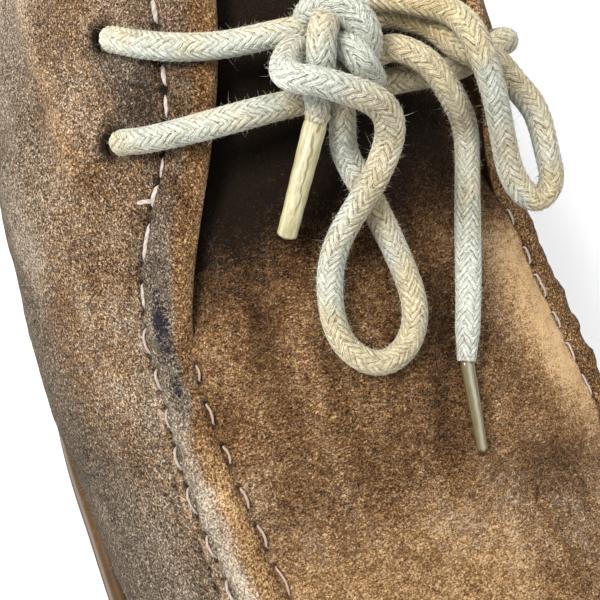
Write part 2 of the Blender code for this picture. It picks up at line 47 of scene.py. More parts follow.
# ------------------------------------------------------------------ outsole
# A platform of gum rubber, moulded in one piece: a smooth side that shows its mould line and a
# band of scuffs, a flat footbed on which the upper is cemented, and ribs across the tread.
LAST_COLUMNS = ("foot_x", "foot_y", "top_x", "top_y", "top_z", "flare", "slope")
LAST = (
    # row                  where the wall stands, its top edge (mm), lean at the foot and at the edge
    ("toe tip",             8.0, -143.0,   6.0, -114.0,  55.5,   6,  28),
    ("toe outer",         -15.0, -137.0, -10.0, -108.0,  56.0,   6,  30),
    ("toe corner outer",  -34.5, -116.0, -22.0,  -93.0,  57.0,   7,  32),
    ("forefoot outer",    -44.0,  -86.0, -28.5,  -70.0,  59.0,   9,  35),
    ("ball outer",        -48.5,  -50.0, -31.5,  -44.0,  65.0,  14,  38),
    ("throat outer",      -48.8,  -20.0, -31.5,  -22.5,  73.5,  21,  42),
    ("flap outer",        -46.0,    2.0, -24.0,   -4.0,  88.5,  23,  40),
    ("holes outer",       -44.4,   20.0, -16.5,   14.0,  98.0,  22,  36),
    ("flap top outer",    -41.5,   38.0, -13.0,   36.0, 104.5,  18,  40),
    ("collar front outer", -39.5,  54.0, -21.5,   50.0, 102.0,  13,  60),
    ("collar outer",      -36.5,   80.0, -33.0,   74.0,  87.0,  10,  82),
    ("quarter outer",     -33.0,  108.0, -30.0,  103.0,  84.0,  10,  82),
    ("heel outer",        -22.5,  132.0, -17.5,  127.0,  90.0,  10,  80),
    ("heel back",           0.0,  141.5,   0.0,  134.5,  93.0,  10,  78),
    ("heel inner",         22.5,  132.0,  17.5,  127.0,  90.0,  10,  80),
    ("quarter inner",      32.5,  108.0,  30.0,  103.0,  85.0,  10,  82),
    ("collar inner",       33.5,   80.0,  33.5,   74.0,  89.5,   9,  82),
    ("collar front inner", 34.5,   54.0,  29.5,   50.0, 105.5,   9,  66),
    ("flap top inner",     35.5,   38.0,  24.5,   36.0, 109.0,   8,  56),
    ("holes inner",        36.5,   20.0,  26.5,   14.0, 103.5,   8,  53),
    ("flap inner",         38.5,    2.0,  27.5,   -2.0,  94.5,   9,  50),
    ("throat inner",       42.0,  -20.0,  28.3,  -16.0,  81.0,  10,  46),
    ("ball inner",         47.5,  -50.0,  34.0,  -44.0,  67.5,  10,  44),
    ("forefoot inner",     48.0,  -86.0,  36.0,  -72.0,  60.5,   9,  38),
    ("toe corner inner",   41.0, -116.0,  30.0,  -93.0,  57.0,   7,  32),
    ("toe inner",          26.5, -135.0,  19.0, -108.0,  56.0,   6,  30),
)
ROWS = len(LAST)
SHOE_LENGTH = 292 * MM
HEEL_THICKNESS = 33 * MM
BALL_THICKNESS = 24 * MM
TOE_SPRING = 9 * MM
ARCH_RISE = 3 * MM
LEDGE = 3.6 * MM             # sole showing outside the foot of the upper
WAIST_LEDGE = 1.0 * MM       # the same along the outer waist, where the wall leans out over it
WAIST_ROWS = (3.3, 4.6, 10.8, 12.2)  # rows of the last between which it narrows and widens again
GAP = 0.3 * MM
SOLE_COLUMNS = 624           # points round the outline
SOLE_PROFILE = (
    # inset from the outline (mm), height from tread (0) to footbed (1), drop (mm)
    (4.0, 1.0, 0.1), (2.2, 1.0, 0.0), (1.2, 1.0, 0.15), (0.5, 1.0, 0.5), (0.12, 1.0, 1.1),
    (0.0, 1.0, 1.9), (0.1, 0.84, 0.0), (0.2, 0.72, 0.0), (0.3, 0.62, 0.0), (0.35, 0.56, 0.0),
    (0.72, 0.54, 0.0), (0.75, 0.5, 0.0), (0.4, 0.48, 0.0), (0.5, 0.38, 0.0), (0.7, 0.26, 0.0),
    (0.95, 0.14, 0.0), (1.15, 0.05, -0.6), (1.35, 0.0, -1.2), (1.8, 0.0, -0.5), (2.6, 0.0, 0.0),
)
TREAD_ACROSS = 36            # strips across the footbed and the tread
# y along the shoe: where the sole thickens from ball to heel, and where the arch begins, is full, ends
WEDGE = (-0.10 * SHOE_LENGTH, 0.27 * SHOE_LENGTH)
ARCH = (-0.03 * SHOE_LENGTH, 0.11 * SHOE_LENGTH, 0.23 * SHOE_LENGTH)
TOP_CURL = (0.27 * SHOE_LENGTH, 0.23 * SHOE_LENGTH)    # how far forward the toe spring begins, its run
TREAD_CURL = (0.26 * SHOE_LENGTH, 0.24 * SHOE_LENGTH)  # the same under the sole
TREAD_SPRING = TOE_SPRING + 1 * MM
HEEL_BEVEL = 3.5 * MM        # how far the back of the heel is cut up
BEVEL_CURL = (0.43 * SHOE_LENGTH, 0.07 * SHOE_LENGTH)  # how far back the bevel begins, its run
RIB_PITCH = 7.5 * MM
RIB_DEPTH = 1.3 * MM
RIB_SLANT = 0.25             # how far a rib runs back for each step out from the middle
RIB_SIDES = (-0.1, 0.5)      # heights on the wave of ribs and grooves between which a rib's side lies
TREAD_BORDER = (5 * MM, 7 * MM)  # in from the edge: where the ribs begin, and where they are full
GUM_PLACES = (0.3, 0.5, 0.72)
GUM_SHADES = ((48, 33, 18), (76, 54, 28), (66, 56, 30))
GUM_GRIME_AND_PAINTED_SHADE = (26, 19, 16)
GUM_SCUFF = (112, 100, 78)


def closed_spline(rows, at):
    """Smooth closed curve through rows, read at the row numbers in at."""
    rows = np.asarray(rows, float)
    at = np.atleast_1d(np.asarray(at, float))
    count = len(rows)
    alone = np.eye(count)
    system = 4 * alone + np.roll(alone, 1, axis=1) + np.roll(alone, -1, axis=1)
    bend = np.linalg.solve(system, 6 * (np.roll(rows, -1, 0) - 2 * rows + np.roll(rows, 1, 0)))
    first = np.floor(at).astype(int)
    part = (at - first)[:, None]
    rest = 1 - part
    here, there = first % count, (first + 1) % count
    return (rest * rows[here] + part * rows[there]
            + ((rest ** 3 - rest) * bend[here] + (part ** 3 - part) * bend[there]) / 6)


def smooth(value, low, high):
    """0 below low, 1 above high, and an S curve between them."""
    t = np.clip((np.asarray(value, float) - low) / (high - low), 0, 1)
    return t * t * (3 - 2 * t)


def last_rows(at):
    """Columns of LAST at the row numbers in at, in metres and degrees."""
    table = closed_spline([row[1:] for row in LAST], at)
    return dict(zip(LAST_COLUMNS, (table * [MM, MM, MM, MM, MM, 1, 1]).T))


def curled(along, begin, run):
    """0 up to begin, then ever steeper, to 1 at the end of the run."""
    return np.clip((along - begin) / run, 0, 1.2) ** 2


def sole_top(y):
    """Height of the footbed along the shoe."""
    wedge = (HEEL_THICKNESS - BALL_THICKNESS) * smooth(y, *WEDGE)
    return BALL_THICKNESS + wedge + TOE_SPRING * curled(-y, *TOP_CURL)


def sole_bottom(y):
    """Height of the tread: level at heel and forefoot, hollow at the arch, curled at the toe."""
    begin, full, end = ARCH
    arch = ARCH_RISE * smooth(y, begin, full)
    arch *= 1 - smooth(y, full, end)
    return arch + TREAD_SPRING * curled(-y, *TREAD_CURL) + HEEL_BEVEL * curled(y, *BEVEL_CURL)


def unit(vectors):
    """The same directions, each one long."""
    return vectors / np.linalg.norm(vectors, axis=-1, keepdims=True)


def foot_line(at, inset=0.0):
    """The line on the sole where the upper stands, moved inwards, and its outward normals."""
    here = last_rows(at)
    step = 0.01
    ahead, behind = last_rows(np.atleast_1d(at) + step), last_rows(np.atleast_1d(at) - step)
    along = unit(np.stack([ahead[axis] - behind[axis] for axis in ("foot_x", "foot_y")], -1))
    outward = np.stack([-along[:, 1], along[:, 0]], -1)
    line = np.stack([here["foot_x"], here["foot_y"]], -1) - np.reshape(inset, (-1, 1)) * outward
    return line, outward


def ledge(at):
    """Width of sole that shows outside the foot of the upper."""
    narrow, waist, wide, heel = WAIST_ROWS
    waisted = smooth(at, narrow, waist) - smooth(at, wide, heel)
    return LEDGE + (WAIST_LEDGE - LEDGE) * waisted


def grid(rows, columns, closed=False, start=0):
    """Corner numbers of the quads of a grid of points stored row after row."""
    number = start + np.arange(rows * columns).reshape(rows, columns)
    beside = np.roll(number, -1, axis=1)
    quads = np.stack([number[:-1], beside[:-1], beside[1:], number[1:]], -1)
    if not closed:
        quads = quads[:, :-1]
    return quads.reshape(-1, 4)


def fill_across(rings, faces, ring, level, strips):
    """Closes a ring of a foot-shaped shell with strips from side to side, and adds them to rings
    and faces. level gives their height from their points and how far in from the edge these are."""
    columns = len(rings[ring])
    half = columns // 2
    left, right = rings[ring][1:half], rings[ring][:half:-1]
    share = np.linspace(0, 1, strips + 1)[None, 1:-1, None]
    inner = left[:, None] * (1 - share) + right[:, None] * share
    away = np.minimum(share, 1 - share)[..., 0] * np.linalg.norm(right - left, axis=1)[:, None]
    inner[..., 2] = level(inner, away)
    number = sum(len(points) for points in rings) + np.arange(away.size).reshape(away.shape)
    side = ring * columns + np.arange(columns)
    full = np.column_stack([side[1:half], number, side[:half:-1]])
    corners = [full[:-1, :-1], full[:-1, 1:], full[1:, 1:], full[1:, :-1]]
    faces.append(np.stack(corners, -1).reshape(-1, 4))
    for end, beside in ((side[0], full[0]), (side[half], full[-1])):
        faces.append(np.column_stack([np.full(strips, end), beside[:-1], beside[1:]]))
    rings.append(inner.reshape(-1, 3))


def build(name, points, faces, tones, finish):
    """A smooth mesh object from points, faces and one value or vector a point for each tone."""
    points = np.asarray(points, np.float32)
    faces = [np.asarray(group, np.int32) for group in faces if len(group)]
    corners = np.concatenate([group.ravel() for group in faces])
    sizes = np.concatenate([np.full(len(group), group.shape[1]) for group in faces])
    mesh = bpy.data.meshes.new(name)
    mesh.vertices.add(len(points))
    mesh.vertices.foreach_set("co", points.ravel())
    mesh.loops.add(len(corners))
    mesh.loops.foreach_set("vertex_index", corners)
    mesh.polygons.add(len(sizes))
    starts = np.concatenate([[0], np.cumsum(sizes)[:-1]]).astype(np.int32)
    mesh.polygons.foreach_set("loop_start", starts)
    mesh.update(calc_edges=True)
    mesh.validate()
    for tone, values in tones.items():
        values = np.asarray(values, np.float32)
        wide = values.ndim == 2
        layer = mesh.attributes.new(tone, "FLOAT_VECTOR" if wide else "FLOAT", "POINT")
        layer.data.foreach_set("vector" if wide else "value", values.ravel())
    shape = bmesh.new()
    shape.from_mesh(mesh)
    bmesh.ops.recalc_face_normals(shape, faces=shape.faces)
    shape.to_mesh(mesh)
    shape.free()
    mesh.shade_smooth()
    made = bpy.data.objects.new(name, mesh)
    bpy.context.scene.collection.objects.link(made)
    mesh.materials.append(finish)
    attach(made, "root")
    return made


def lumps(points, size, seed, turns=14):
    """Soft random relief, about -1 to 1, whose lumps are about size across."""
    draw = np.random.default_rng(seed)
    total = 0
    for _ in range(turns):
        way = draw.normal(size=3)
        way *= draw.uniform(0.6, 1.5) / np.linalg.norm(way)
        total = total + np.sin(points @ way * 2 * math.pi / size + draw.uniform(0, 2 * math.pi))
    return total / math.sqrt(2 * turns)


def paint(red, green, blue):
    """A colour as a dyer's swatch gives it, 0 to 255, for a shader."""
    shares = [value / 255 for value in (red, green, blue)]
    return tuple(s / 12.92 if s <= 0.04045 else ((s + 0.055) / 1.055) ** 2.4 for s in shares) + (1.0,)


class Tone:
    """A value or colour in a finish's nodes. Arithmetic on it adds Math nodes."""

    def __init__(self, tree, socket=None):
        self.tree = tree
        self.socket = socket

    def node(self, kind, settings=None, values=None, out=0):
        """Adds a node: its settings first, then the values or links of its sockets."""
        made = self.tree.nodes.new(kind)
        for name, value in (settings or {}).items():
            if name == "stops":
                for k, (place, colour) in enumerate(value):
                    stop = made.color_ramp.elements[k] if k < 2 else made.color_ramp.elements.new(place)
                    stop.position = place
                    stop.color = colour
            else:
                setattr(made, name, value)
        for key, value in (values or {}).items():
            if isinstance(value, Tone):
                self.tree.links.new(value.socket, made.inputs[key])
            else:
                made.inputs[key].default_value = value
        return Tone(self.tree, made.outputs[out])

    def math(self, operation, *values):
        return self.node("ShaderNodeMath", {"operation": operation}, dict(enumerate(values)))

    def __add__(self, other):
        return self.math("ADD", self, other)

    __radd__ = __add__

    def __sub__(self, other):
        return self.math("SUBTRACT", self, other)

    def __rsub__(self, other):
        return self.math("SUBTRACT", other, self)

    def __mul__(self, other):
        return self.math("MULTIPLY", self, other)

    __rmul__ = __mul__

    def shades(self, places, swatches):
        """Colour for this value: it runs through the swatches, each at its place from 0 to 1."""
        stops = [(place, paint(*swatch)) for place, swatch in zip(places, swatches)]
        return self.node("ShaderNodeValToRGB", {"stops": stops}, {0: self})

    def grade(self, low, high):
        """0 below low and 1 above high, with a soft step between."""
        return self.node("ShaderNodeMapRange", {"interpolation_type": "SMOOTHSTEP"},
                         {0: self, 1: low, 2: high})

    def over(self, below, colour):
        """This value's share of colour laid over the colour below."""
        return self.node("ShaderNodeMix", {"data_type": "RGBA"}, {0: self, 6: below, 7: colour}, out=2)

    def bump(self, height):
        """Surface normal from this value's relief, whose full height is given."""
        return self.node("ShaderNodeBump", None, {"Height": self, "Distance": height})

    def noise(self, size, detail=2.0, rough=0.5, warp=0.0, where=None):
        """Random value, 0 to 1, with lumps about size across."""
        return self.node("ShaderNodeTexNoise", None, {
            "Vector": where or self.node("ShaderNodeTexCoord", out=3), "Scale": 1 / size,
            "Detail": detail, "Roughness": rough, "Distortion": warp})

    def mark(self, name, wide=False):
        """The value, or the vector, that the mesh holds at each point under a name."""
        return self.node("ShaderNodeAttribute", {"attribute_name": name}, out=1 if wide else 2)


def finish_of(name, **constants):
    """A new finish: the material, a first Tone to work from, and a way to feed its shader."""
    material = bpy.data.materials.new(name)
    material.use_nodes = True
    tree = material.node_tree
    shader = tree.nodes["Principled BSDF"]
    for socket, value in constants.items():
        shader.inputs[socket.replace("_", " ")].default_value = value

    def feed(socket, tone):
        tree.links.new(tone.socket, shader.inputs[socket])
    return material, Tone(tree), feed


def gum_rubber():
    material, tone, feed = finish_of("gum rubber", Specular_IOR_Level=0.12)
    cloud = tone.noise(26 * MM, 3, 0.55)
    fine = tone.noise(1.1 * MM, 3, 0.6)
    streak = tone.noise(9 * MM, 4, 0.6, warp=0.8)
    grime_and_painted_shade = tone.mark("grime_and_painted_shade")
    colour = (cloud * 0.7 + streak * 0.3).shades(GUM_PLACES, GUM_SHADES)
    # grime, and painted shade on the ledge where the upper overhangs it
    colour = (grime_and_painted_shade * 0.9).over(colour, paint(*GUM_GRIME_AND_PAINTED_SHADE))
    scuff = (tone.mark("scuff") + (fine - 0.5) * 1.4).grade(0.62, 0.95)
    colour = (scuff * 0.6).over(colour, paint(*GUM_SCUFF))
    feed("Base Color", colour)
    feed("Roughness", 0.38 + fine * 0.2 + grime_and_painted_shade * 0.3)
    feed("Normal", (fine + streak * 0.6).bump(0.05 * MM))
    return material


def footbed(place, away):
    """Height of the smooth upper face at its points."""
    return sole_top(place[..., 1])


def ribbed_tread(place, away):
    """Height of the tread: slanting ribs that stop short of its edge."""
    wave = np.cos(2 * math.pi * (place[..., 1] + RIB_SLANT * abs(place[..., 0])) / RIB_PITCH)
    groove = 1 - smooth(wave, *RIB_SIDES)
    return sole_bottom(place[..., 1]) + RIB_DEPTH * groove * smooth(away, *TREAD_BORDER)


at = np.arange(SOLE_COLUMNS) * ROWS / SOLE_COLUMNS
rings, grime_and_painted_shade, scuff = [], [], []
for inset, height, drop in SOLE_PROFILE:
    line, _ = foot_line(at, inset * MM - ledge(at))
    top, bottom = sole_top(line[:, 1]), sole_bottom(line[:, 1])
    rings.append(np.column_stack([line, bottom + height * (top - bottom) - drop * MM]))
    at_top = height == 1.0
    # grime and painted shade on the ledge, darker towards the foot of the upper
    grime_and_painted_shade.append(np.full(SOLE_COLUMNS, smooth(inset, 1.0, 3.2) * at_top))
    scuff.append(np.full(SOLE_COLUMNS, 0.5 * (0.05 < height < 1) * smooth(-height, -0.5, -0.1)
                         + 0.55 * at_top * (0.4 < drop < 2)))
faces = [grid(len(rings), SOLE_COLUMNS, closed=True)]
ends = ((0, footbed, 0.8, 0.0), (len(SOLE_PROFILE) - 1, ribbed_tread, 0.45, 0.7))
for ring, level, dirty, worn in ends:
    fill_across(rings, faces, ring, level, TREAD_ACROSS)
    grime_and_painted_shade.append(np.full(len(rings[-1]), dirty))
    scuff.append(np.full(len(rings[-1]), worn))
sole = build("platform_sole", np.concatenate(rings), faces,
             {"grime_and_painted_shade": np.concatenate(grime_and_painted_shade), "scuff": np.concatenate(scuff)}, gum_rubber())
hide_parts("outsole")

# ------------------------------------------------------------------ insole
# A foot-shaped board covered in tan leather, laid loose in the shoe: its edge is skived, and the
# heel and the ball of the foot have pressed and darkened it.
WALL = 2.0 * MM
INSOLE_THICKNESS = 4.0 * MM
INSOLE_CLEARANCE = 0.8 * MM  # between its edge and the wall
INSOLE_COLUMNS = 260
INSOLE_ACROSS = 30
INSOLE_PLACES = (0.3, 0.52, 0.7)
INSOLE_SHADES = ((122, 84, 50), (160, 116, 74), (186, 144, 98))
INSOLE_PRESSED = (84, 58, 38)
# inset of each ring of its edge (mm), and its height as a share of the thickness
INSOLE_RINGS = ((0.6, 0.0), (0.1, 0.12), (0.0, 0.3), (0.0, 0.75), (0.15, 0.92), (0.5, 1.0))
PRESSED = (
    # x, y, reach (mm), depth (mm): where the foot has pressed it
    (1, 112, 24, 0.9), (14, -58, 24, 0.7), (-18, -62, 22, 0.5), (22, -102, 14, 0.5), (-28, 10, 22, 0.2),
)


def insole_leather():
    material, tone, feed = finish_of("insole leather", Specular_IOR_Level=0.35)
    cloud = tone.noise(17 * MM, 4, 0.6)
    grain = tone.noise(0.9 * MM, 4, 0.65)
    pore = tone.node("ShaderNodeTexVoronoi", {"feature": "F1"},
                     {"Vector": tone.node("ShaderNodeTexCoord", out=3), "Scale": 1 / (0.8 * MM)})
    colour = (cloud * 0.6 + grain * 0.4).shades(INSOLE_PLACES, INSOLE_SHADES)
    colour = (tone.mark("pressed") * 0.7).over(colour, paint(*INSOLE_PRESSED))
    feed("Base Color", colour)
    feed("Roughness", 0.75 - tone.mark("pressed") * 0.25)
    feed("Normal", (pore * 0.5 + grain).bump(0.12 * MM))
    return material


def insole_height(place, share):
    """Height of the board at its points, at a share of its thickness."""
    return sole_top(place[..., 1]) + GAP + share * INSOLE_THICKNESS


at = np.arange(INSOLE_COLUMNS) * ROWS / INSOLE_COLUMNS
rings = []
for inset, share in INSOLE_RINGS:
    line, _ = foot_line(at, WALL + INSOLE_CLEARANCE + inset * MM)
    rings.append(np.column_stack([line, insole_height(line, share)]))
faces = [grid(len(rings), INSOLE_COLUMNS, closed=True)]
for ring, share in ((0, 0.0), (len(INSOLE_RINGS) - 1, 1.0)):
    fill_across(rings, faces, ring, lambda place, away: insole_height(place, share), INSOLE_ACROSS)
points = np.concatenate(rings)
pressed = np.zeros(len(points))
for x, y, reach, depth in PRESSED:
    foot = np.exp(-((points[:, 0] / MM - x) ** 2 + (points[:, 1] / MM - y) ** 2) / reach ** 2)
    upper_side = smooth(points[:, 2] - sole_top(points[:, 1]), 0.5 * INSOLE_THICKNESS, INSOLE_THICKNESS)
    points[:, 2] -= depth * MM * foot * upper_side
    pressed = np.maximum(pressed, foot * min(1, depth / 0.7))
insole = build("insole_board", points, faces, {"pressed": pressed}, insole_leather())
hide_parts("insole")

# ------------------------------------------------------------------ upper
# One piece of brown suede, 2 mm thick, comes up round the foot and is puckered along a raised
# hand-sewn ridge. Past the throat it runs on as two flaps, each with two punched holes for the
# lace, and behind them round the heel, where the collar is bound and a seam closes the back.
RIDGE_WIDTH = 7.4 * MM       # from the apron to the outer stitches
FACING_WIDTH = 9.6 * MM      # from the flap's edge to the same stitches
RIDGE_HEIGHT = 2.2 * MM
THROAT_ROW = 5
FLAP_TOP_ROW = 8
HEEL_ROW = 13
EYELETS = ((7.36, 21.0), (6.64, 20.0), (18.65, 18.0), (19.38, 18.0))  # row, mm below the edge
EYELET_RADIUS = 2.0 * MM
WALL_COLUMNS = ((0, 2.4, 50), (2.4, 8.4, 350), (8.4, 17.6, 120), (17.6, 23.2, 190), (23.2, 26, 50))
WALL_RINGS = ((0, 12.4, 31), (12.4, 16, 4), (16, 24.4, 12))  # mm below the edge, rings
LOWER_RINGS = 32             # the rest of the way down to the sole
FINE_INSIDE = (14 * MM, 24.4 * MM)  # below the edge, round the eyelets: every ring is inside too
FOOT_PULL, EDGE_PULL = 0.42, 0.40   # how strongly the lean at the foot and at the edge bends the wall
RIM_ROUND = 0.3 * MM         # how far the cut edge of the wall is rounded out
FOOT_BAND = 3 * MM           # height over which the relief dies out towards the sole
FOOT_RAGGED = 0.34 * MM      # how ragged the cut foot of the wall is
COLLAR_ROLL = 0.5 * MM       # how far the bound collar is padded inwards
COLLAR_MIDDLE = 1.9 * MM     # below the edge: the fullest line of the binding
OUTER_STITCHES = (
    # start and end of each stitch, mm along the seam from the throat towards the toe
    (-63.2, -59.4), (-56.8, -52.2), (-50.6, -47.4), (-46.0, -41.8), (-41.0, -36.4), (-31.3, -27.5),
    (-26.9, -23.4), (-21.3, -14.9), (-11.9, -6.9), (-4.3, 0.7), (2.8, 7.0), (9.6, 13.4),
    (15.8, 19.9), (22.4, 27.3), (30.4, 34.8), (38.2, 42.6),
)
OUTER_LINE = (
    # mm along the seam, mm below the edge: where the outer stitches run on the outer side
    (-70, 10.5), (-57, 10.4), (-45, 9.2), (-38, 8.3), (-29, 8.4), (-24, 9.3), (-14, 9.8), (-2, 8.1),
    (5, 6.5), (11, 6.5), (18, 7.5), (25, 8.2), (33, 8.2), (40, 8.2), (55, 7.4),
)
STITCH_PITCH = 7.0 * MM
STITCH_SHARE = 0.66          # of the pitch that shows as thread
STITCH_EASE = 0.9 * MM       # in from its ends: where a stitch holds the hide fully
BITE = 0.55 * MM             # reach of the dent at a stitch's hole
FOLDS = (
    # soft folds of the wall: route (mm), reach and depth (mm)
    (((-38, 50, 70), (-40.5, 42, 70), (-41.5, 30, 70.5), (-41.5, 20, 70.5), (-42, 10, 69)), 3.4, 0.7),
    (((-37.5, 46, 75.5), (-38, 35, 75.5), (-38.5, 27, 76.5), (-38.5, 18.5, 76.5), (-39, 8, 74)),
     2.0, -0.8),
    (((-35, 44, 80), (-35.5, 38, 79.5), (-36, 30.5, 79.5), (-36, 23, 79.5), (-36, 14, 79.2)), 2.2, 0.5),
    (((-49, 6, 60), (-47.6, -14, 57), (-48.4, -34, 50), (-48, -52, 45)), 7.0, 0.7),
    (((-44, 30, 66), (-46.5, 10, 64), (-46, -4, 66)), 8.0, -0.8),
    (((37, 2, 72), (41, -12, 66), (44, -34, 58)), 4.0, 0.8),
    (((38, 30, 80), (39, 12, 76), (41, -2, 70)), 4.5, 0.7),
    (((-38, 96, 66), (-38, 84, 58), (-40, 68, 52)), 5.0, 0.8),
    (((36, 98, 64), (37, 84, 58), (37, 66, 52)), 5.0, 0.8),
)
SUEDE_PLACES = (0.0, 0.34, 0.62, 1.0)
SUEDE_WARM = ((20, 12, 6), (84, 58, 35), (126, 93, 60), (207, 171, 125))
SUEDE_GREYS = ((30, 27, 24), (86, 77, 67), (130, 117, 102), (204, 192, 174))
SUEDE_SHEEN = (214, 190, 160)
LINING_PLACES = (0.35, 0.65)
LINING_SHADES = ((104, 76, 50), (148, 114, 80))
# painted shade inside the eyelets
HOLE_PAINTED_SHADE = (14, 10, 8)
INK = (15, 19, 34)
INK_SPOTS = (
    # ends of the stain (mm), reach (mm), strength
    ((-34.4, -16, 76.2), (-35.1, -19.6, 74.2), 1.3, 0.9),
    ((-35.1, -20, 74), (-35.7, -24, 71.8), 1.6, 1.1),
    ((-35.2, -28.2, 70.2), (-35.3, -30.4, 69.4), 1.0, 0.9),
)
# routes (mm): the grey edge of the stain, the fold that wear has paled, the nap that the lace has
# rubbed between the holes of the outer flap
INK_HALO = ((-33.2, -12, 78), (-35.3, -22, 73), (-34.8, -33, 68.5))
WALL_CREST = ((-37.5, 46, 75.5), (-38, 35, 75.5), (-38.5, 27, 76.5), (-38.5, 18.5, 76.5),
              (-39, 10, 74.5))
RUBBED = ((-29.5, 19, 87), (-29, 13, 87.3), (-30.8, 8.5, 85))


def from_toe(rows):
    """How many rows away the toe is, whichever side the row is on."""
    rows = np.mod(rows, ROWS)
    return np.minimum(rows, ROWS - rows)


def run_along(lines, axis=0):
    """How far along each line its points are; axis is the one that counts the points."""
    steps = np.diff(lines, axis=axis, prepend=lines.take([0], axis=axis))
    return np.cumsum(np.linalg.norm(steps, axis=-1), axis=axis)


def profiles(rows, samples=121):
    """The upper's outer face at the rows, from the top edge down: points, run and normals."""
    here = last_rows(rows)
    line, outward = foot_line(rows)
    foot = np.column_stack([line, sole_top(line[:, 1]) + GAP])
    out = np.column_stack([outward, np.zeros(len(rows))])
    up = np.array([0.0, 0.0, 1.0])
    top = np.column_stack([here["top_x"], here["top_y"], here["top_z"]])
    reach = np.linalg.norm(top - foot, axis=1)[:, None]
    flare, slope = np.radians(here["flare"])[:, None], np.radians(here["slope"])[:, None]
    lower = foot + FOOT_PULL * reach * (out * np.sin(flare) + up * np.cos(flare))
    upper = top + EDGE_PULL * reach * (out * np.cos(slope) - up * np.sin(slope))
    t = np.linspace(0, 1, samples)[:, None, None]
    curve = ((1 - t) ** 3 * top + 3 * (1 - t) ** 2 * t * upper
             + 3 * (1 - t) * t ** 2 * lower + t ** 3 * foot)
    tangent = np.gradient(curve, axis=0)
    across = (tangent * out).sum(2, keepdims=True)
    return curve, run_along(curve), unit(across * up - tangent[..., 2:] * out)


def ridge_width(rows):
    """Width of the hand-sewn seam, from the apron or the flap's edge to its outer stitches."""
    rise = smooth(from_toe(rows), THROAT_ROW - 0.5, THROAT_ROW + 1.5)
    return RIDGE_WIDTH + (FACING_WIDTH - RIDGE_WIDTH) * rise


def bare_wall(rows, distance):
    """Points and normals of the plain wall; distance holds rings of one value for each row."""
    curve, run, normal = profiles(rows)
    place, facing = np.empty((2, *distance.shape, 3))
    for column in range(len(rows)):
        for axis in range(3):
            reached = distance[:, column], run[:, column]
            place[:, column, axis] = np.interp(*reached, curve[:, column, axis])
            facing[:, column, axis] = np.interp(*reached, normal[:, column, axis])
    place += np.maximum(-distance, 0)[..., None] * unit(curve[0] - curve[1])
    return place, unit(facing), run[-1]


def wall_spot(row, below):
    """One point of the plain wall, below (mm) under its edge, and the normal there."""
    place, facing, _ = bare_wall(np.array([float(row)]), np.array([[below * MM]]))
    return place[0, 0], facing[0, 0]


def seam_table(share):
    """Row numbers, from -9 round the toe to 9, and the run along the seam at a share of its width."""
    rows = np.linspace(-9, 9, 1441)
    line = bare_wall(rows, (share * ridge_width(rows))[None])[0][0]
    run = run_along(line)
    return rows, np.interp(THROAT_ROW, rows, run) - run


def signed(rows):
    """Rows of the inner side as negative numbers, back from the toe."""
    rows = np.mod(rows, ROWS)
    return np.where(rows > ROWS / 2, rows - ROWS, rows)


OUTER_SEAM = seam_table(1.0)
INNER_SEAM = seam_table(0.0)


def outer_share(rows):
    """1 on the outer side and 0 on the inner side, with a soft change round the toe and the heel."""
    rows = signed(rows)
    return 0.5 + 0.5 * np.sign(rows) * smooth(np.minimum(abs(rows), HEEL_ROW - abs(rows)), 0, 2)


def along_seam(rows, table):
    """Run along the seam at the rows, from the throat of the outer side towards the toe."""
    return np.interp(signed(rows), *table)


def seam_rows(run, table):
    """Rows at a run along the seam."""
    return np.mod(np.interp(run, table[1][::-1], table[0][::-1]), ROWS)


def outer_line(rows):
    """How far below the edge the outer stitches run."""
    run = along_seam(rows, OUTER_SEAM)
    seen = np.interp(run / MM, *zip(*OUTER_LINE)) * MM
    share = (1 - smooth(run, 45 * MM, 55 * MM)) * (signed(rows) > 0)
    return ridge_width(rows) * (1 - share) + seen * share


def go_on(stitches, last, pitch):
    """The stitches listed, in metres, and more of the same pitch up to the run called last."""
    stitches = [(a * MM, b * MM) for a, b in stitches]
    while stitches[-1][1] < last:
        start = stitches[-1][1] + (1 - STITCH_SHARE) * pitch
        stitches.append((start, start + STITCH_SHARE * pitch))
    return np.array(stitches)


outer_stitches = go_on(OUTER_STITCHES, along_seam([-8.2], OUTER_SEAM)[0], STITCH_PITCH)


def near(value, middle, reach):
    """A soft bump, 1 in the middle."""
    return np.exp(-((value - middle) / reach) ** 2)


def held(run, stitches):
    """1 under a stitch, 0 between stitches, and how near either of its holes is."""
    under = sum(smooth(run, a, a + STITCH_EASE) * (1 - smooth(run, b - STITCH_EASE, b))
                for a, b in stitches)
    bites = sum(near(run, end, BITE) for end in stitches.ravel())
    return under, np.minimum(bites, 1)


def from_route(points, route):
    """How far points are from a route, and their place along it from 0 to 1."""
    route = np.asarray(route, float) * MM
    closest = np.full(points.shape[:-1], np.inf)
    place = np.zeros(points.shape[:-1])
    for k, (a, b) in enumerate(zip(route, route[1:])):
        share = np.clip(((points - a) @ (b - a)) / ((b - a) @ (b - a)), 0, 1)
        gap = np.linalg.norm(points - a - share[..., None] * (b - a), axis=-1)
        place = np.where(gap < closest, (k + share) / (len(route) - 1), place)
        closest = np.minimum(gap, closest)
    return closest, place


def band(points, route, reach):
    """A soft band along a route, 1 on its line."""
    return near(from_route(points, route)[0], 0, reach)


def fold(points, route, reach, depth):
    """A trough along a route, or a swell where depth is negative, that fades at both ends."""
    gap, place = from_route(points, route)
    ends = np.minimum(1, 4 * np.minimum(place + 0.1, 1.1 - place))
    return -depth * MM * near(gap, 0, reach * MM) * ends


def collar_share(rows):
    """1 round the collar and 0 along the flaps and the ridge."""
    return smooth(from_toe(rows), FLAP_TOP_ROW + 0.3, FLAP_TOP_ROW + 1.2)


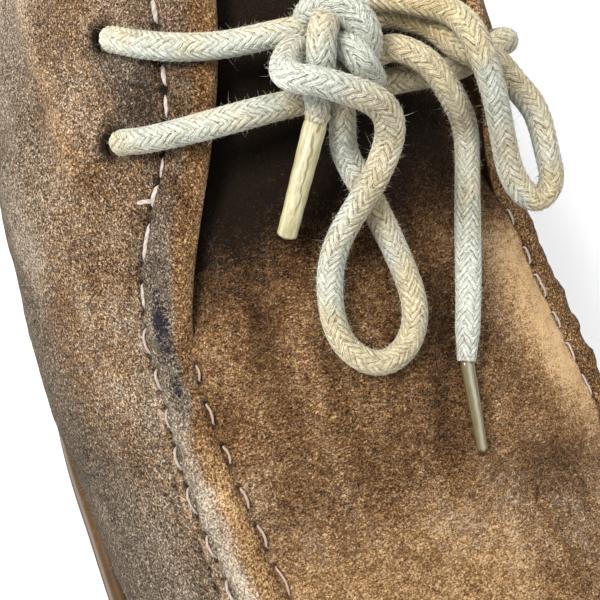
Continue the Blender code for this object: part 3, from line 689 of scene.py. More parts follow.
def wall_surface(rows, distance):
    """The upper's outer face: its plain points and normals, how far the ridge and the folds lift
    it, its finer relief, and the marks of wear, dirt and ink on it, with painted light and shade."""
    points, normals, _ = bare_wall(rows, distance)
    toe = from_toe(rows)
    run = along_seam(rows, OUTER_SEAM)
    width = outer_line(rows)
    sewn = 1 - smooth(toe, FLAP_TOP_ROW - 0.2, FLAP_TOP_ROW + 0.5)   # ridge or facing
    ridge = 1 - smooth(toe, THROAT_ROW - 0.1, THROAT_ROW + 1.2)      # ridge alone
    outer = outer_share(rows) + np.zeros(distance.shape)
    under, bites = held(run, outer_stitches)
    under, bites = under * sewn, bites * sewn
    past = distance - width
    crest = np.clip(distance / width, 0, 1)
    big = RIDGE_HEIGHT * (0.3 + 0.7 * ridge) * sewn * np.sin(math.pi * crest) ** 0.8
    big = big * (1 + 0.16 * (0.5 - under) * ridge + 0.14 * lumps(points, 6 * MM, 3))
    big = big + 0.75 * MM * lumps(points, 52 * MM, 5) * smooth(distance, width, width + 18 * MM)
    big = big + sum(fold(points, *each) for each in FOLDS)
    pitted = smooth(lumps(points, 2.8 * MM, 9), -0.45, 0.7)
    crease = (smooth(run, 12 * MM, 22 * MM) * ridge * pitted
              * near(past, 1.8 * MM + 0.4 * MM * lumps(points, 7 * MM, 10), 0.34 * MM))
    back = (near(toe, HEEL_ROW, 0.6) * near(points[..., 0], 0, 0.5 * MM)
            * smooth(distance, 4 * MM, 6 * MM))
    punched = np.zeros(distance.shape)
    for hole in EYELETS:
        away = np.linalg.norm(points - wall_spot(*hole)[0], axis=-1)
        rim = near(away, EYELET_RADIUS, 1.4 * MM) * (away > 0.5 * EYELET_RADIUS)
        punched = np.maximum(punched, rim)
    fine = (
        # the line of stitches, their holes, and the hide that they pull in and push up
        -0.16 * near(past, 0, 0.6 * MM) * sewn - 0.55 * bites * near(past, 0, 0.55 * MM)
        - (0.1 + 0.5 * ridge) * under * near(past, -1.0 * MM, 0.7 * MM)
        + (0.05 + 0.4 * ridge) * (0.5 + 0.5 * under) * near(past, 0.9 * MM, 0.5 * MM) * sewn
        # the broken crease beside the ridge, and puckers that die away below it
        - 0.45 * crease
        + (0.1 + 0.2 * outer) * (0.5 - under) * ridge * smooth(past, 1 * MM, 3 * MM)
        * np.exp(-np.maximum(past, 0) / (5 * MM))
        # the groove of the inner seam, the rounded edge of the flap, and the hide's own lumps
        - 0.3 * ridge * near(distance, 0, 0.6 * MM) - 0.35 * (1 - ridge) * near(distance, 0, 0.4 * MM)
        + 0.17 * lumps(points, 11 * MM, 7) + 0.09 * lumps(points, 3.4 * MM, 8)
        # the collar's binding, the back seam, and the rims of the eyelets
        + collar_share(rows) * (0.75 * near(distance, COLLAR_MIDDLE, 1.5 * MM)
                                - 0.45 * near(distance, 4.6 * MM, 0.7 * MM))
        - 0.6 * back - 0.4 * punched)
    run = run + np.zeros(distance.shape)
    height = points[..., 2]
    toeward = smooth(run, 2 * MM, 17 * MM) * ridge
    seen = points + normals * big[..., None]
    halo = band(seen, INK_HALO, 2.8 * MM)
    marks = {
        "light": (
            # rubbed pale with a painted highlight: the crest of the ridge; painted light: its shaded
            # upper edge;
            # rubbed: the swell below the stitches
            ((0.33 + 0.27 * smooth(run, 30 * MM, 46 * MM)) * near(crest, 0.56, 0.27)
             + 0.12 * near(crest, 0.8, 0.2)) * toeward * (crest < 1) * outer
            + (0.15 + 0.2 * toeward) * near(crest, 0.16, 0.2) * sewn * outer
            + 0.45 * ridge * near(past, 1.0 * MM, 0.7 * MM) * (0.5 + 0.5 * under)
            # rubbed: the fold beside the holes, the flap's cut edge, and its foot at the throat
            + 0.5 * band(points, WALL_CREST, 1.8 * MM)
            + 0.35 * near(distance, 0.3 * MM, 0.6 * MM) * (1 - ridge)
            + 0.22 * near(run, -0.5 * MM, 9 * MM) * near(distance, 1.0 * MM, 1.1 * MM) * outer),
        "dirt_and_painted_shade": (
            # dirt held by the seam, darker on the inner ridge; painted shade in its stitch holes and
            # its crease;
            # darker round the rims of the eyelets
            0.12 * under * near(past, -0.9 * MM, 0.7 * MM) * ridge
            + 0.1 * near(past, 0, 0.6 * MM) * sewn
            + 0.3 * band(points, RUBBED, 3.6 * MM)
            + 0.12 * (1 - outer) * ridge * near(crest, 0.4, 0.35)
            + 0.7 * bites * near(past, 0, 0.6 * MM) + 0.6 * crease
            + 0.6 * punched + 0.5 * back
            # painted shade round the holes and along the flap, and darker low on the wall
            + 0.3 * near(toe, 7.0, 0.55) * near(past, 3.5 * MM, 3 * MM) * outer
            + 0.3 * smooth(toe, THROAT_ROW, THROAT_ROW + 0.8) * (1 - smooth(past, 0, 6 * MM)) * outer
            + 0.42 * (1 - smooth(height, 44 * MM, 62 * MM)) * outer
            * smooth(points[..., 1], -95 * MM, -55 * MM)
            + 0.16 * (1 - smooth(height, 34 * MM, 44 * MM))
            + 0.2 * halo),
        "grey": (
            # dust, more of it lower down
            outer * (0.44 + 0.5 * smooth(distance, 26 * MM, 50 * MM))
            + outer * 0.6 * (1 - smooth(height, 36 * MM, 58 * MM))
            # handling at the throat, on the ridge and along the inner flap
            + 0.5 * outer * near(run, -3 * MM, 14 * MM) * near(distance, 6 * MM, 4 * MM)
            + 0.5 * toeward * near(crest, 0.7, 0.3) * (crest < 1.05) * outer
            + 0.3 * (1 - outer) * (1 - ridge) + 0.4 * (1 - outer) * ridge * near(crest, 0.95, 0.2)
            - 0.7 * near(crest, 0.1, 0.24) * sewn * outer
            - 0.15 * near(past, 1.2 * MM, 0.8 * MM) * ridge * outer
            # ink, the lace's rub, and the pockets under the stitches
            + 0.8 * halo + 0.4 * band(points, RUBBED, 4 * MM)
            + 1.5 * under * near(past, -1.2 * MM, 1.0 * MM) * ridge),
        "ink": 0.32 * halo + sum(strength * band(seen, (a, b), far * MM)
                                 for a, b, far, strength in INK_SPOTS),
    }
    return points, normals, big, fine * MM, marks


def suede(name, nap, flow, contrast, clumped):
    """Brushed suede: nap is the size of its tufts, flow how much they lie one way, contrast how
    much they differ from one another, and clumped how much they hang together."""
    material, tone, feed = finish_of(
        name, Specular_IOR_Level=0.06, Sheen_Weight=0.08, Sheen_Roughness=0.5,
        Sheen_Tint=paint(*SUEDE_SHEEN))
    place = tone.node("ShaderNodeTexCoord", out=3)
    combed = tone.node("ShaderNodeVectorMath", {"operation": "MULTIPLY"}, {0: place, 1: flow})
    curl = tone.noise(1.8 * nap, 2, 0.6, warp=1.1, where=combed)
    fibre = (1 - tone.math("ABSOLUTE", curl - 0.5) * 13).grade(0.0, 1.0)
    tuft = tone.noise(nap, 2, 0.65, warp=0.7, where=combed)
    clump = tone.noise(4 * nap, 3, 0.6, warp=0.6, where=combed)
    lengthwise = tone.node("ShaderNodeVectorMath", {"operation": "MULTIPLY"},
                           {0: place, 1: (1.5, 0.5, 1.2)})
    cloud = tone.noise(7 * MM, 3, 0.55, where=lengthwise)
    broad = tone.noise(30 * MM, 2, 0.5)
    light, dirt_and_painted_shade = tone.mark("light"), tone.mark("dirt_and_painted_shade")
    pile = (tuft - 0.5) * 3.0 + (fibre - 0.35) * 0.42
    # the light and dark marks bring wear and dirt, and painted light and painted shade, into the colour
    level = (0.47 + pile * ((1 - dirt_and_painted_shade * 0.3 - light * 0.3) * contrast) + (clump - 0.5) * clumped
             + (cloud - 0.5) * 0.45 + (broad - 0.5) * 0.5 + light * 0.5 - dirt_and_painted_shade * 0.6)
    warm = level.shades(SUEDE_PLACES, SUEDE_WARM)
    cool = level.shades(SUEDE_PLACES, SUEDE_GREYS)
    hue = tone.noise(1.6 * MM, 2, 0.6)
    greyed = tone.mark("grey") + (hue - 0.5) * 0.9 + (cloud - 0.5) * 0.7 + (broad - 0.5) * 0.6
    colour = (greyed.grade(0.0, 1.0) * 0.9).over(warm, cool)
    blot = tone.noise(0.48 * MM, 3, 0.7)
    inked = (tone.mark("ink") * 0.5 + (blot - 0.5) * 2.6).grade(0.3, 0.8)
    colour = (inked * 0.94).over(colour, paint(*INK))
    lining = (clump * 0.5 + cloud * 0.5).shades(LINING_PLACES, LINING_SHADES)
    colour = tone.mark("inside").over(colour, lining)
    # painted shade on the walls of the eyelets and round them inside
    colour = tone.mark("hole").over(colour, paint(*HOLE_PAINTED_SHADE))
    feed("Base Color", colour)
    feed("Roughness", 0.98 - inked * 0.2)
    feed("Normal", (pile * 0.5 + cloud * 0.6).bump(0.3 * MM))
    return material


def spans(table):
    """Evenly spaced values over each span of a table of start, end and count."""
    return np.concatenate([np.linspace(*span, endpoint=False) for span in table])


def between(first, second):
    """Quads between two closed rings of corner numbers."""
    return np.column_stack([first, np.roll(first, -1), np.roll(second, -1), second])


def across_hole(found, middle, facing):
    """Where points lie across a hole with this middle and direction, and how far from its axis."""
    flat = found - middle
    flat = flat - (flat @ facing)[..., None] * facing
    return flat, np.linalg.norm(flat, axis=-1)


at = spans(WALL_COLUMNS)
fixed = spans(WALL_RINGS) * MM
floor_run = profiles(at)[1][-1]
share = np.linspace(0, 1, LOWER_RINGS)[:, None]
lowest = WALL_RINGS[-1][1] * MM
distance = np.concatenate([fixed[:, None] + 0 * floor_run, lowest + share * (floor_run - lowest)])
points, normals, big, fine, marks = wall_surface(at, distance)
at_foot = smooth(distance, floor_run - FOOT_BAND, floor_run)
big = big * (1 - at_foot)
ragged = FOOT_RAGGED * lumps(points, 1.6 * MM, 11, turns=24) * at_foot
outside = points + normals * ((big + fine * (1 - 0.7 * at_foot) + ragged)[..., None])
last_ring = len(distance) - 1
kept = [ring for ring in range(last_ring + 1) if ring % 3 == 0 or ring == last_ring
        or ring < len(fixed) and FINE_INSIDE[0] < fixed[ring] < FINE_INSIDE[1]]
collar = collar_share(at)
roll = COLLAR_ROLL * collar * near(distance, COLLAR_MIDDLE, 1.6 * MM)
inside = (points + normals * ((big - WALL - roll)[..., None]))[kept]
edge = unit(outside[0] - outside[1])
rim = [outside[0] * (1 - s) + inside[0] * s
       + edge * (RIM_ROUND * math.sin(math.pi * s) * (1 + 2 * collar))[:, None]
       for s in (0.25, 0.5, 0.75)]
columns = len(at)
start_in = len(distance) * columns
start_rim = start_in + len(kept) * columns
cells_out = grid(len(distance), columns, closed=True).reshape(-1, columns, 4)
cells_in = grid(len(kept), columns, closed=True, start=start_in).reshape(-1, columns, 4)
number = np.arange(columns)
strips = [number, *(start_rim + k * columns + number for k in range(len(rim))), start_in + number]
closing = [between(*pair) for pair in zip(strips, strips[1:])]
closing.append(between(start_in - columns + number, start_rim - columns + number))
every = np.concatenate([outside.reshape(-1, 3), inside.reshape(-1, 3), np.concatenate(rim)])
open_out = np.zeros(cells_out.shape[:2], bool)
holes = [wall_spot(*hole) for hole in EYELETS]
walls = []
for middle, facing in holes:
    centres = every[cells_out].mean(axis=2)
    hole = across_hole(centres, middle, facing)[1] < EYELET_RADIUS
    hole &= np.linalg.norm(centres - middle, axis=-1) < 3 * EYELET_RADIUS
    open_out |= hole
    for ring, column in np.argwhere(hole):
        lower = kept.index(ring)
        before, after = (column - 1) % columns, (column + 1) % columns
        sides = (((ring - 1, column), (0, 1)), ((ring, after), (1, 2)),
                 ((ring + 1, column), (2, 3)), ((ring, before), (3, 0)))
        for (r, c), (a, b) in sides:
            if not hole[r, c]:
                out_cell, in_cell = cells_out[ring, column], cells_in[lower, column]
                walls.append((out_cell[a], out_cell[b], in_cell[b], in_cell[a]))
                for corner in (out_cell[a], out_cell[b], in_cell[a], in_cell[b]):
                    flat, away = across_hole(every[corner], middle, facing)
                    every[corner] += flat * (EYELET_RADIUS / away - 1)
open_in = open_out[kept[:-1]]
count_in, count_rim = len(kept) * columns, len(rim) * columns
tones = {}
for name, values in marks.items():
    inner, turned = 0.1 if name == "dirt_and_painted_shade" else 0.0, 0.3 if name == "light" else 0.0
    tones[name] = np.concatenate([values.ravel(), np.full(count_in, inner), np.full(count_rim, turned)])
tones["inside"] = np.concatenate([np.zeros(start_in), np.ones(count_in), np.zeros(count_rim)])
# painted shade: how near each point is to an eyelet's axis, full on its walls and inside
away = np.full(len(every), np.inf)
for middle, facing in holes:
    near_hole = np.linalg.norm(every - middle, axis=1) < 2.5 * EYELET_RADIUS
    away = np.where(near_hole, np.minimum(away, across_hole(every, middle, facing)[1]), away)
behind = np.arange(len(every)) >= start_in
tones["hole"] = (1 - smooth(away, EYELET_RADIUS, EYELET_RADIUS + 0.5 * MM)) * np.where(behind, 1, 0.75)
brown = suede("brown suede", 0.3 * MM, (1.0, 0.75, 1.0), 0.88, 0.4)
faces = [cells_out[~open_out], cells_in[~open_in], *closing, np.array(walls)]
upper = build("suede_upper", every, faces, tones, brown)
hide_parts("upper")

# ------------------------------------------------------------------ apron and tongue
# The plug of the moccasin: one length of suede sewn into the ridge from the toe to the throat,
# that runs on under both flaps as the tongue and ends round above the instep.
TONGUE_WALL = 1.8 * MM
FLAP_TO_TONGUE = 5.6 * MM
TONGUE_TUCK = (1.5 * MM, 9 * MM)
TONGUE_LAST_ROW = 7.9
TONGUE_DIP = 3.4             # mm: how far it drops away under the flap at the throat
TONGUE_END = (
    # mm past the last row, and what is left of the width there
    (3, 0.998), (6, 0.99), (9, 0.975), (12, 0.95), (14, 0.915), (16, 0.86), (17.4, 0.79), (18.5, 0.68),
)
CREST = (56.0, 57.5, 60.5, 65.5, 73.5, 84.5, 92.0, 98.0, 103.5, 107.5, 110.0)
APRON_ROWS = ((0.03, 1.6, 44), (1.6, 6.6, 210), (6.6, 7.9, 30))
APRON_ACROSS = 132
APRON_FOLDS = (
    # route (mm), reach and depth (mm)
    (((-19.5, -20, 80), (-21, -25.4, 77.3), (-21.2, -29, 75.5), (-20.7, -35, 73), (-19, -40, 72)),
     2.6, 0.75),
    (((-27, -22, 76), (-26.5, -28, 73.5), (-26, -36, 71)), 2.4, -0.6),
    (((-14, -24, 79), (-14, -31, 75.8), (-13, -38, 73.4)), 3.0, -0.4),
    (((38, -63, 62), (30, -63.5, 65), (22, -64.5, 66.5), (12, -67, 66.7), (0, -70, 66),
      (-8, -72, 64.6)), 4.2, 0.85),
    (((35, -53, 65.5), (24, -55.5, 68), (12, -58, 68.7), (0, -61, 68.2)), 4.0, -0.6),
    (((6, -42, 75), (2, -50, 72), (-5, -55, 70.2), (-14, -58, 67.5)), 3.4, 0.45),
    (((26, -24, 78.5), (26.5, -32, 74.6), (28.6, -41, 70.6), (32, -52, 66)), 3.2, -0.5),
    (((20, -28, 78), (20.5, -38, 74), (22.5, -48, 70)), 3.5, 0.4),
    (((-18, 4, 92), (-19, -8, 86), (-20, -16, 82)), 4.0, 0.8),
    (((11, -28, 80), (8, -38, 76), (5, -46.5, 72.5), (3, -52, 71)), 2.2, 0.5),
    (((10, -84, 62.5), (-4, -86, 62.2), (-16, -84, 61)), 5.0, 0.35),
)
INNER_STITCHES = (
    # mm along the seam: where each shows
    (5.6, 8.4), (11.9, 15.6), (19.2, 22.4), (26.3, 30.1), (32.8, 36.9), (39.9, 45.2),
)
FAR_STITCHES = (
    (185.6, 190.0), (192.5, 196.4), (199.1, 202.4), (205.1, 209.8), (211.8, 215.1), (219.4, 222.6),
)


def crown(rows):
    """Height of the middle of the apron or tongue at the rows."""
    there_and_back = np.array([*CREST, *CREST[-2:0:-1]])[:, None]
    return closed_spline(there_and_back, rows)[:, 0] * MM


def apron_edge(rows):
    """Side edge: in the ridge's groove as far as the throat, then under the flap and further in."""
    toe = from_toe(rows)
    loose = smooth(toe, THROAT_ROW - 0.28, THROAT_ROW + 0.2)
    deeper = smooth(toe, THROAT_ROW, THROAT_ROW + 1.2)
    reach = loose * TONGUE_TUCK[0] + deeper * (TONGUE_TUCK[1] - TONGUE_TUCK[0])
    sunk = loose * TONGUE_DIP * MM + deeper * (FLAP_TO_TONGUE - TONGUE_DIP * MM)
    place, facing, _ = bare_wall(rows, reach[None])
    return place[0] - facing[0] * sunk[:, None]


def bridge(left, right, height, faces):
    """Crowned lines from one side edge to the other, whose middles are at the given heights."""
    lift = ((height - (left[:, 2] + right[:, 2]) / 2) * 4 / 3)[:, None] * np.array([[0.0, 0.0, 1.0]])
    close = left + 0.3 * (right - left) + lift
    far = right + 0.3 * (left - right) + lift
    even = np.linspace(0, 1, faces + 1)
    t = (0.5 * even + 0.5 * (0.5 - 0.5 * np.cos(math.pi * even)))[:, None, None]
    line = ((1 - t) ** 3 * left + 3 * (1 - t) ** 2 * t * close
            + 3 * (1 - t) * t ** 2 * far + t ** 3 * right)
    return line.transpose(1, 0, 2), t[:, 0, 0]


rows = np.concatenate([np.linspace(a, b, n, endpoint=b == TONGUE_LAST_ROW) for a, b, n in APRON_ROWS])
lines, t = bridge(apron_edge(rows), apron_edge(ROWS - rows), crown(rows), APRON_ACROSS)
middle = lines[-1].mean(axis=0)
onward = (lines[-1] - lines[-2]).mean(axis=0)
onward /= np.linalg.norm(onward)
end = [middle + onward * past * MM + (lines[-1] - middle) * width for past, width in TONGUE_END]
points = np.concatenate([lines, np.array(end)])
rows = np.concatenate([rows, np.full(len(end), TONGUE_LAST_ROW)])[:, None]
along, across = np.gradient(points, axis=0), np.gradient(points, axis=1)
normals = unit(np.cross(across, along))
normals *= np.sign(normals[..., 2:].mean())
from_edge = np.minimum(t, 1 - t)[None] * np.linalg.norm(points[:, -1] - points[:, 0], axis=1)[:, None]
sewn = 1 - smooth(rows, THROAT_ROW - 0.35, THROAT_ROW + 0.05)
runs = [along_seam(side, INNER_SEAM)[:, None] for side in (rows[:, 0], ROWS - rows[:, 0])]
inner_stitches = go_on(INNER_STITCHES, 180 * MM, 6.8 * MM)
inner_stitches = np.concatenate([inner_stitches, np.array(FAR_STITCHES) * MM])
under, bites = held(np.where(t[None] < 0.5, *runs), inner_stitches)
relief = (
    0.5 * MM * lumps(points, 38 * MM, 21) * smooth(from_edge, 3 * MM, 12 * MM)
    + 0.16 * MM * lumps(points, 9 * MM, 22) + 0.07 * MM * lumps(points, 3 * MM, 23)
    + sum(fold(points, *each) for each in APRON_FOLDS)
    # the groove of the seam, the puckers between its stitches, and their holes
    - 0.35 * MM * sewn * near(from_edge, 0, 0.7 * MM)
    + 0.3 * MM * sewn * (0.5 - under) * near(from_edge, 1.6 * MM, 1.6 * MM)
    - 0.4 * MM * sewn * bites * near(from_edge, 0.6 * MM, 0.6 * MM))
face = points + normals * relief[..., None]
back = points - normals * (TONGUE_WALL * (1 - 0.2 * near(from_edge, 0, 1 * MM)))[..., None]
x, y = points[..., 0] / MM, points[..., 1] / MM
marks = {
    "light": (
        # painted light beside the inner ridge; lighter across the toe; painted light on a small patch
        # near the outer flap, and a painted highlight along a wrinkle
        1.1 * near(x, 27 + 0.2 * (-25 - y), 7) * smooth(-y, 18, 28) * (1 - 0.6 * smooth(-y, 48, 60))
        + 0.5 * smooth(-y, 52, 66) * (1 - 1.05 * smooth(x, 4, 22))
        + 0.12 * near(x, -18, 8) * near(y, -30, 9)
        + 0.2 * near(y + 0.25 * x, -50, 5) * smooth(x, 0, 12)),
    "dirt_and_painted_shade": (
        # darker, dirtier suede and painted shade on the tongue under the flaps and the knot; painted
        # shade in the folds, beside the inner lace end and along a wrinkle; dirt along the seam,
        # painted shade in its stitch holes
        1.22 * smooth(y, -27, -6) * (1 - 0.45 * smooth(y, 24, 38)) * (0.55 + 0.45 * smooth(-x, -26, -6))
        + 0.4 * near(x, -20.6, 3.0) * near(y, -28, 9)
        + 0.2 * near(x, -12, 2.2) * near(y, -34, 9)
        + 0.32 * band(points, APRON_FOLDS[-2][0], 3.6 * MM)
        + 0.15 * near(x, 8, 9) * near(y, -36, 9)
        + 0.22 * near(y + 0.22 * x, -57, 5) * smooth(x, 0, 10)
        + 0.2 * sewn * near(from_edge, 0, 0.8 * MM)
        + 0.7 * sewn * bites * near(from_edge, 0.6 * MM, 0.7 * MM)),
    "grey": 0.1 + 0.2 * near(y + 0.22 * x, -62, 9),
    "ink": np.zeros(x.shape),
}
stations, wide = points.shape[:2]
front = grid(stations, wide)
rear = grid(stations, wide, start=stations * wide)[:, ::-1]
number = np.arange(stations * wide).reshape(stations, wide)
border = np.concatenate([number[0, :-1], number[:-1, -1], number[-1, :0:-1], number[:0:-1, 0]])
after = np.roll(border, -1)
rim = np.column_stack([border, border + stations * wide, after + stations * wide, after])
tones = {name: np.concatenate([values.ravel(), np.zeros(values.size)])
         for name, values in marks.items()}
tones["inside"] = np.concatenate([np.zeros(x.size), np.ones(x.size)])
tones["hole"] = np.zeros(2 * x.size)
apron = build("apron_and_tongue", np.concatenate([face.reshape(-1, 3), back.reshape(-1, 3)]),
              [front, rear, rim], tones, suede("apron suede", 0.28 * MM, (0.8, 1.0, 1.0), 0.68, 0.75))
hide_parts("tongue", "upper")

# ------------------------------------------------------------------ stitching
# Waxed pale thread, flat and a little untwisted, sewn by hand through punched holes: two rows
# hold the ridge, one runs on up each flap, and a plain row binds the collar.
THREAD_WIDTH = 0.85 * MM     # lying flat along the flap
SLIM_THREAD = 0.5 * MM       # pulled tight round the ridge
THREAD_THICKNESS = 0.4 * MM
THREAD_SUNK = 0.6 * MM       # how deep its ends go into their holes
THREAD_WANDER = 0.05 * MM    # how far one stitch lies off the row
THREAD_TWIST = 1.5 * MM      # run in which its plies turn once round
THREAD_STATIONS = 14
THREAD_SIDES = 12
THREAD_PLACES = (0.3, 0.55, 0.8)
THREAD_SHADES = ((110, 98, 90), (166, 154, 146), (196, 186, 180))
THREAD_WORN = (154, 122, 98)
CROSS_STITCH = ((-25.6, -24.2), (12.8, 8.6))  # mm along the seam and below the edge: one across the row
COLLAR_ROWS = (8.75, 17.25)  # rows of the last between which the collar is sewn
COLLAR_ROW_BELOW = 5.6 * MM
COLLAR_PITCH = 3.4 * MM
COLLAR_SHARE = 0.72          # of the pitch that shows as thread


def thread_finish():
    material, tone, feed = finish_of("waxed thread", Specular_IOR_Level=0.3, Sheen_Weight=0.15)
    ply, worn = tone.mark("ply"), tone.mark("worn")
    wear = tone.noise(1.7 * MM, 3, 0.6)
    fibre = tone.noise(0.16 * MM, 2, 0.6)
    level = ply * 0.16 + wear * 0.5 + fibre * 0.45
    bare = (worn * 0.7 + (wear - 0.5) * 0.8).grade(0.0, 1.0)
    feed("Base Color", bare.over(level.shades(THREAD_PLACES, THREAD_SHADES), paint(*THREAD_WORN)))
    feed("Roughness", 0.75 + fibre * 0.2)
    feed("Normal", (ply * 0.35 + fibre * 0.8).bump(0.08 * MM))
    return material


def tube_faces(stations, sides, start=0):
    """Faces of a tube of closed rings: its sides and its two caps."""
    number = np.arange(sides)
    caps = np.stack([start + number, start + stations * sides - 1 - number])
    return [grid(stations, sides, closed=True, start=start), caps]


def sew(name, paths, normals, stood, width, bow, worn):
    """Stitches along short paths (stitch, station, axis) on a face with these normals. Each has
    its width, how far its middle bows sideways and how worn it is."""
    count, stations = paths.shape[:2]
    t = np.linspace(0, 1, stations)
    arch = np.clip(np.sin(math.pi * t), 0, 1) ** 0.2
    draw = np.random.default_rng(len(paths))
    width, bow = (np.broadcast_to(value, (count, 1, 1)) for value in (width, bow))
    level = unit(np.gradient(paths, axis=1))
    arch = arch[None, :, None]
    paths = paths + normals * (stood * arch - THREAD_SUNK * (1 - arch))
    paths = paths + np.cross(normals, level) * bow * np.sin(math.pi * t)[None, :, None]
    paths += draw.normal(0, THREAD_WANDER, (count, 1, 3))
    ahead = unit(np.gradient(paths, axis=1))
    side = unit(np.cross(normals, ahead))
    up = np.cross(ahead, side)
    turn = np.arange(THREAD_SIDES) * 2 * math.pi / THREAD_SIDES
    lay = turn[None, None] * 2 - (run_along(paths, axis=1) / THREAD_TWIST * 2 * math.pi)[..., None]
    swell = (1 + 0.05 * np.cos(lay)) * (0.55 + 0.45 * arch)
    swell = swell * draw.uniform(0.88, 1.12, (count, 1, 1))
    thick = np.minimum(THREAD_THICKNESS, 0.8 * width)
    rings = (paths[:, :, None]
             + side[:, :, None] * (np.cos(turn) * swell * width / 2)[..., None]
             + up[:, :, None] * (np.sin(turn) * swell * thick / 2)[..., None])
    tubes = [tube_faces(stations, THREAD_SIDES, k * stations * THREAD_SIDES) for k in range(count)]
    faces = [np.concatenate(part) for part in zip(*tubes)]
    tones = {"ply": 0.5 + 0.5 * np.cos(lay), "worn": np.broadcast_to(worn, (count, 1, 1))}
    tones = {tone: (value + np.zeros(rings.shape[:3])).ravel() for tone, value in tones.items()}
    build(name, rings.reshape(-1, 3), faces, tones, waxed)


def on_face(rows, distance):
    """Paths (stitch, station) on the upper's outer face, and the normals along them."""
    points, normals, big, fine, _ = wall_surface(rows.ravel(), distance[None])
    paths = points[0] + normals[0] * (big + fine)[0][:, None]
    return paths.reshape(*rows.shape, 3), normals[0].reshape(*rows.shape, 3)


def on_wall(starts_ends, table, below):
    """Paths on the upper's outer face for stitches given as runs along a seam."""
    share = np.linspace(0, 1, THREAD_STATIONS)
    run = starts_ends[:, :1] * (1 - share) + starts_ends[:, 1:] * share
    rows = seam_rows(run.ravel(), table)
    return on_face(rows.reshape(run.shape), below(rows))


waxed = thread_finish()
on_flap = smooth(-outer_stitches.mean(axis=1), 2 * MM, 9 * MM)[:, None, None]
on_flap = np.concatenate([on_flap, [[[1.0]]]])
row = on_wall(outer_stitches, OUTER_SEAM, outer_line)
turn = on_wall(np.array(CROSS_STITCH[:1]) * MM, OUTER_SEAM,
               lambda rows: np.linspace(*CROSS_STITCH[1], len(rows)) * MM)
sew("outer_stitches", *(np.concatenate(pair) for pair in zip(row, turn)),
    stood=0.05 * MM + 0.3 * MM * (1 - on_flap),
    width=SLIM_THREAD + (THREAD_WIDTH - SLIM_THREAD) * on_flap,
    bow=-0.35 * MM * (1 - on_flap), worn=0.5 - 0.3 * on_flap)
is_far = (inner_stitches[:, 0] > FAR_STITCHES[0][0] * MM - MM).astype(float)[:, None, None]
sew("inner_stitches", *on_wall(inner_stitches, INNER_SEAM, lambda rows: np.full(len(rows), -0.7 * MM)),
    stood=0.3 * MM - 0.1 * MM * is_far, width=0.8 * SLIM_THREAD + 0.45 * MM * is_far,
    bow=0.6 * MM - 0.45 * MM * is_far, worn=0.8 - 0.5 * is_far)
rows = np.linspace(*COLLAR_ROWS, 1200)
run = run_along(bare_wall(rows, np.full((1, len(rows)), COLLAR_ROW_BELOW))[0][0])
starts = np.arange(0, run[-1] - COLLAR_PITCH, COLLAR_PITCH)
runs = starts[:, None] + np.linspace(0, COLLAR_SHARE * COLLAR_PITCH, 7)
at = np.interp(runs.ravel(), run, rows).reshape(runs.shape)
sew("collar_stitches", *on_face(at, np.full(at.size, COLLAR_ROW_BELOW)),
    stood=np.full((len(runs), 1, 1), 0.1 * MM), width=0.5 * MM, bow=0.0, worn=1.3)

# ------------------------------------------------------------------ lace through the eyelets
# A round lace of unbleached cotton, plaited from many fine threads. From the knot it goes out
# through the top hole of the outer flap, back up through the low hole, straight across, and
# the same way through the inner flap to the knot.
LACE_RADIUS = 2.02 * MM
LACE_BEND = 3.2 * MM         # where it turns into an eyelet
HOLE_PULL = 2.6 * MM         # how far the pull draws it to one side of the hole
LACE_PLAITS = 8              # columns of leaves round the lace, leaning left and right in turn
LACE_SIDES = 40
LACE_STEP = 0.2 * MM
LEAF_PITCH = 1.32 * MM
LEAF_LEAN = 1.5              # leaf pitches that a leaf climbs across its column
LEAF_THREADS = 3
LACE_TWIST = 190 * MM        # run in which the columns turn once round
LEAF_SUNK = 0.11 * MM        # the bed of the leaves below the lace's radius
LEAF_RISE = 0.19 * MM        # and how far they rise from it
LACE_UNDER = ((3.2, 5.2), (1.0, 4.2), (0.2, 2.6))  # mm off an eyelet's middle and below the wall
LACE_OVER = ((-0.1, -1.0), (0.6, 0.4))             # mm past its edge and above the wall
BAR_KNOT_TO_TOP_OUTER = (
    (-1.5, 8, 102), (-4.5, 8, 102.5), (-10, 8.5, 102), (-15.5, 9.5, 100.5), (-20.5, 12, 98),
    (-24, 14.5, 96), (-27.3, 19, 92.2),
)
BAR_LOW_OUTER_TO_LOW_INNER = (
    (-31.2, 5, 87), (-28.5, 3, 90), (-24, 1, 93.5), (-17.5, -0.5, 96.5),
    (-10.5, -1, 97.5), (-1.5, -1.5, 98), (9, -2, 98.5), (18.5, -2.5, 99), (24, -1.5, 100),
    (27.5, -0.5, 100), (30.5, 1, 97.5),
)
BAR_TOP_INNER_TO_KNOT = (
    (30, 18.3, 104.8), (26.6, 16, 107.5), (21, 14.5, 106.5), (13, 12.5, 103.5),
    (5.5, 10.5, 101.5),
)
COTTON_PLACES = (0.05, 0.34, 0.62, 0.92)
COTTON_WARM = ((92, 80, 56), (160, 146, 114), (200, 190, 160), (236, 228, 204))
COTTON_COOL = ((90, 90, 80), (158, 160, 148), (199, 202, 190), (238, 241, 234))
SOILED_PLACES = (0.05, 0.4, 0.8)
COTTON_SOILED = ((92, 72, 40), (166, 142, 88), (216, 196, 142))
COTTON_SHEEN = (240, 238, 228)


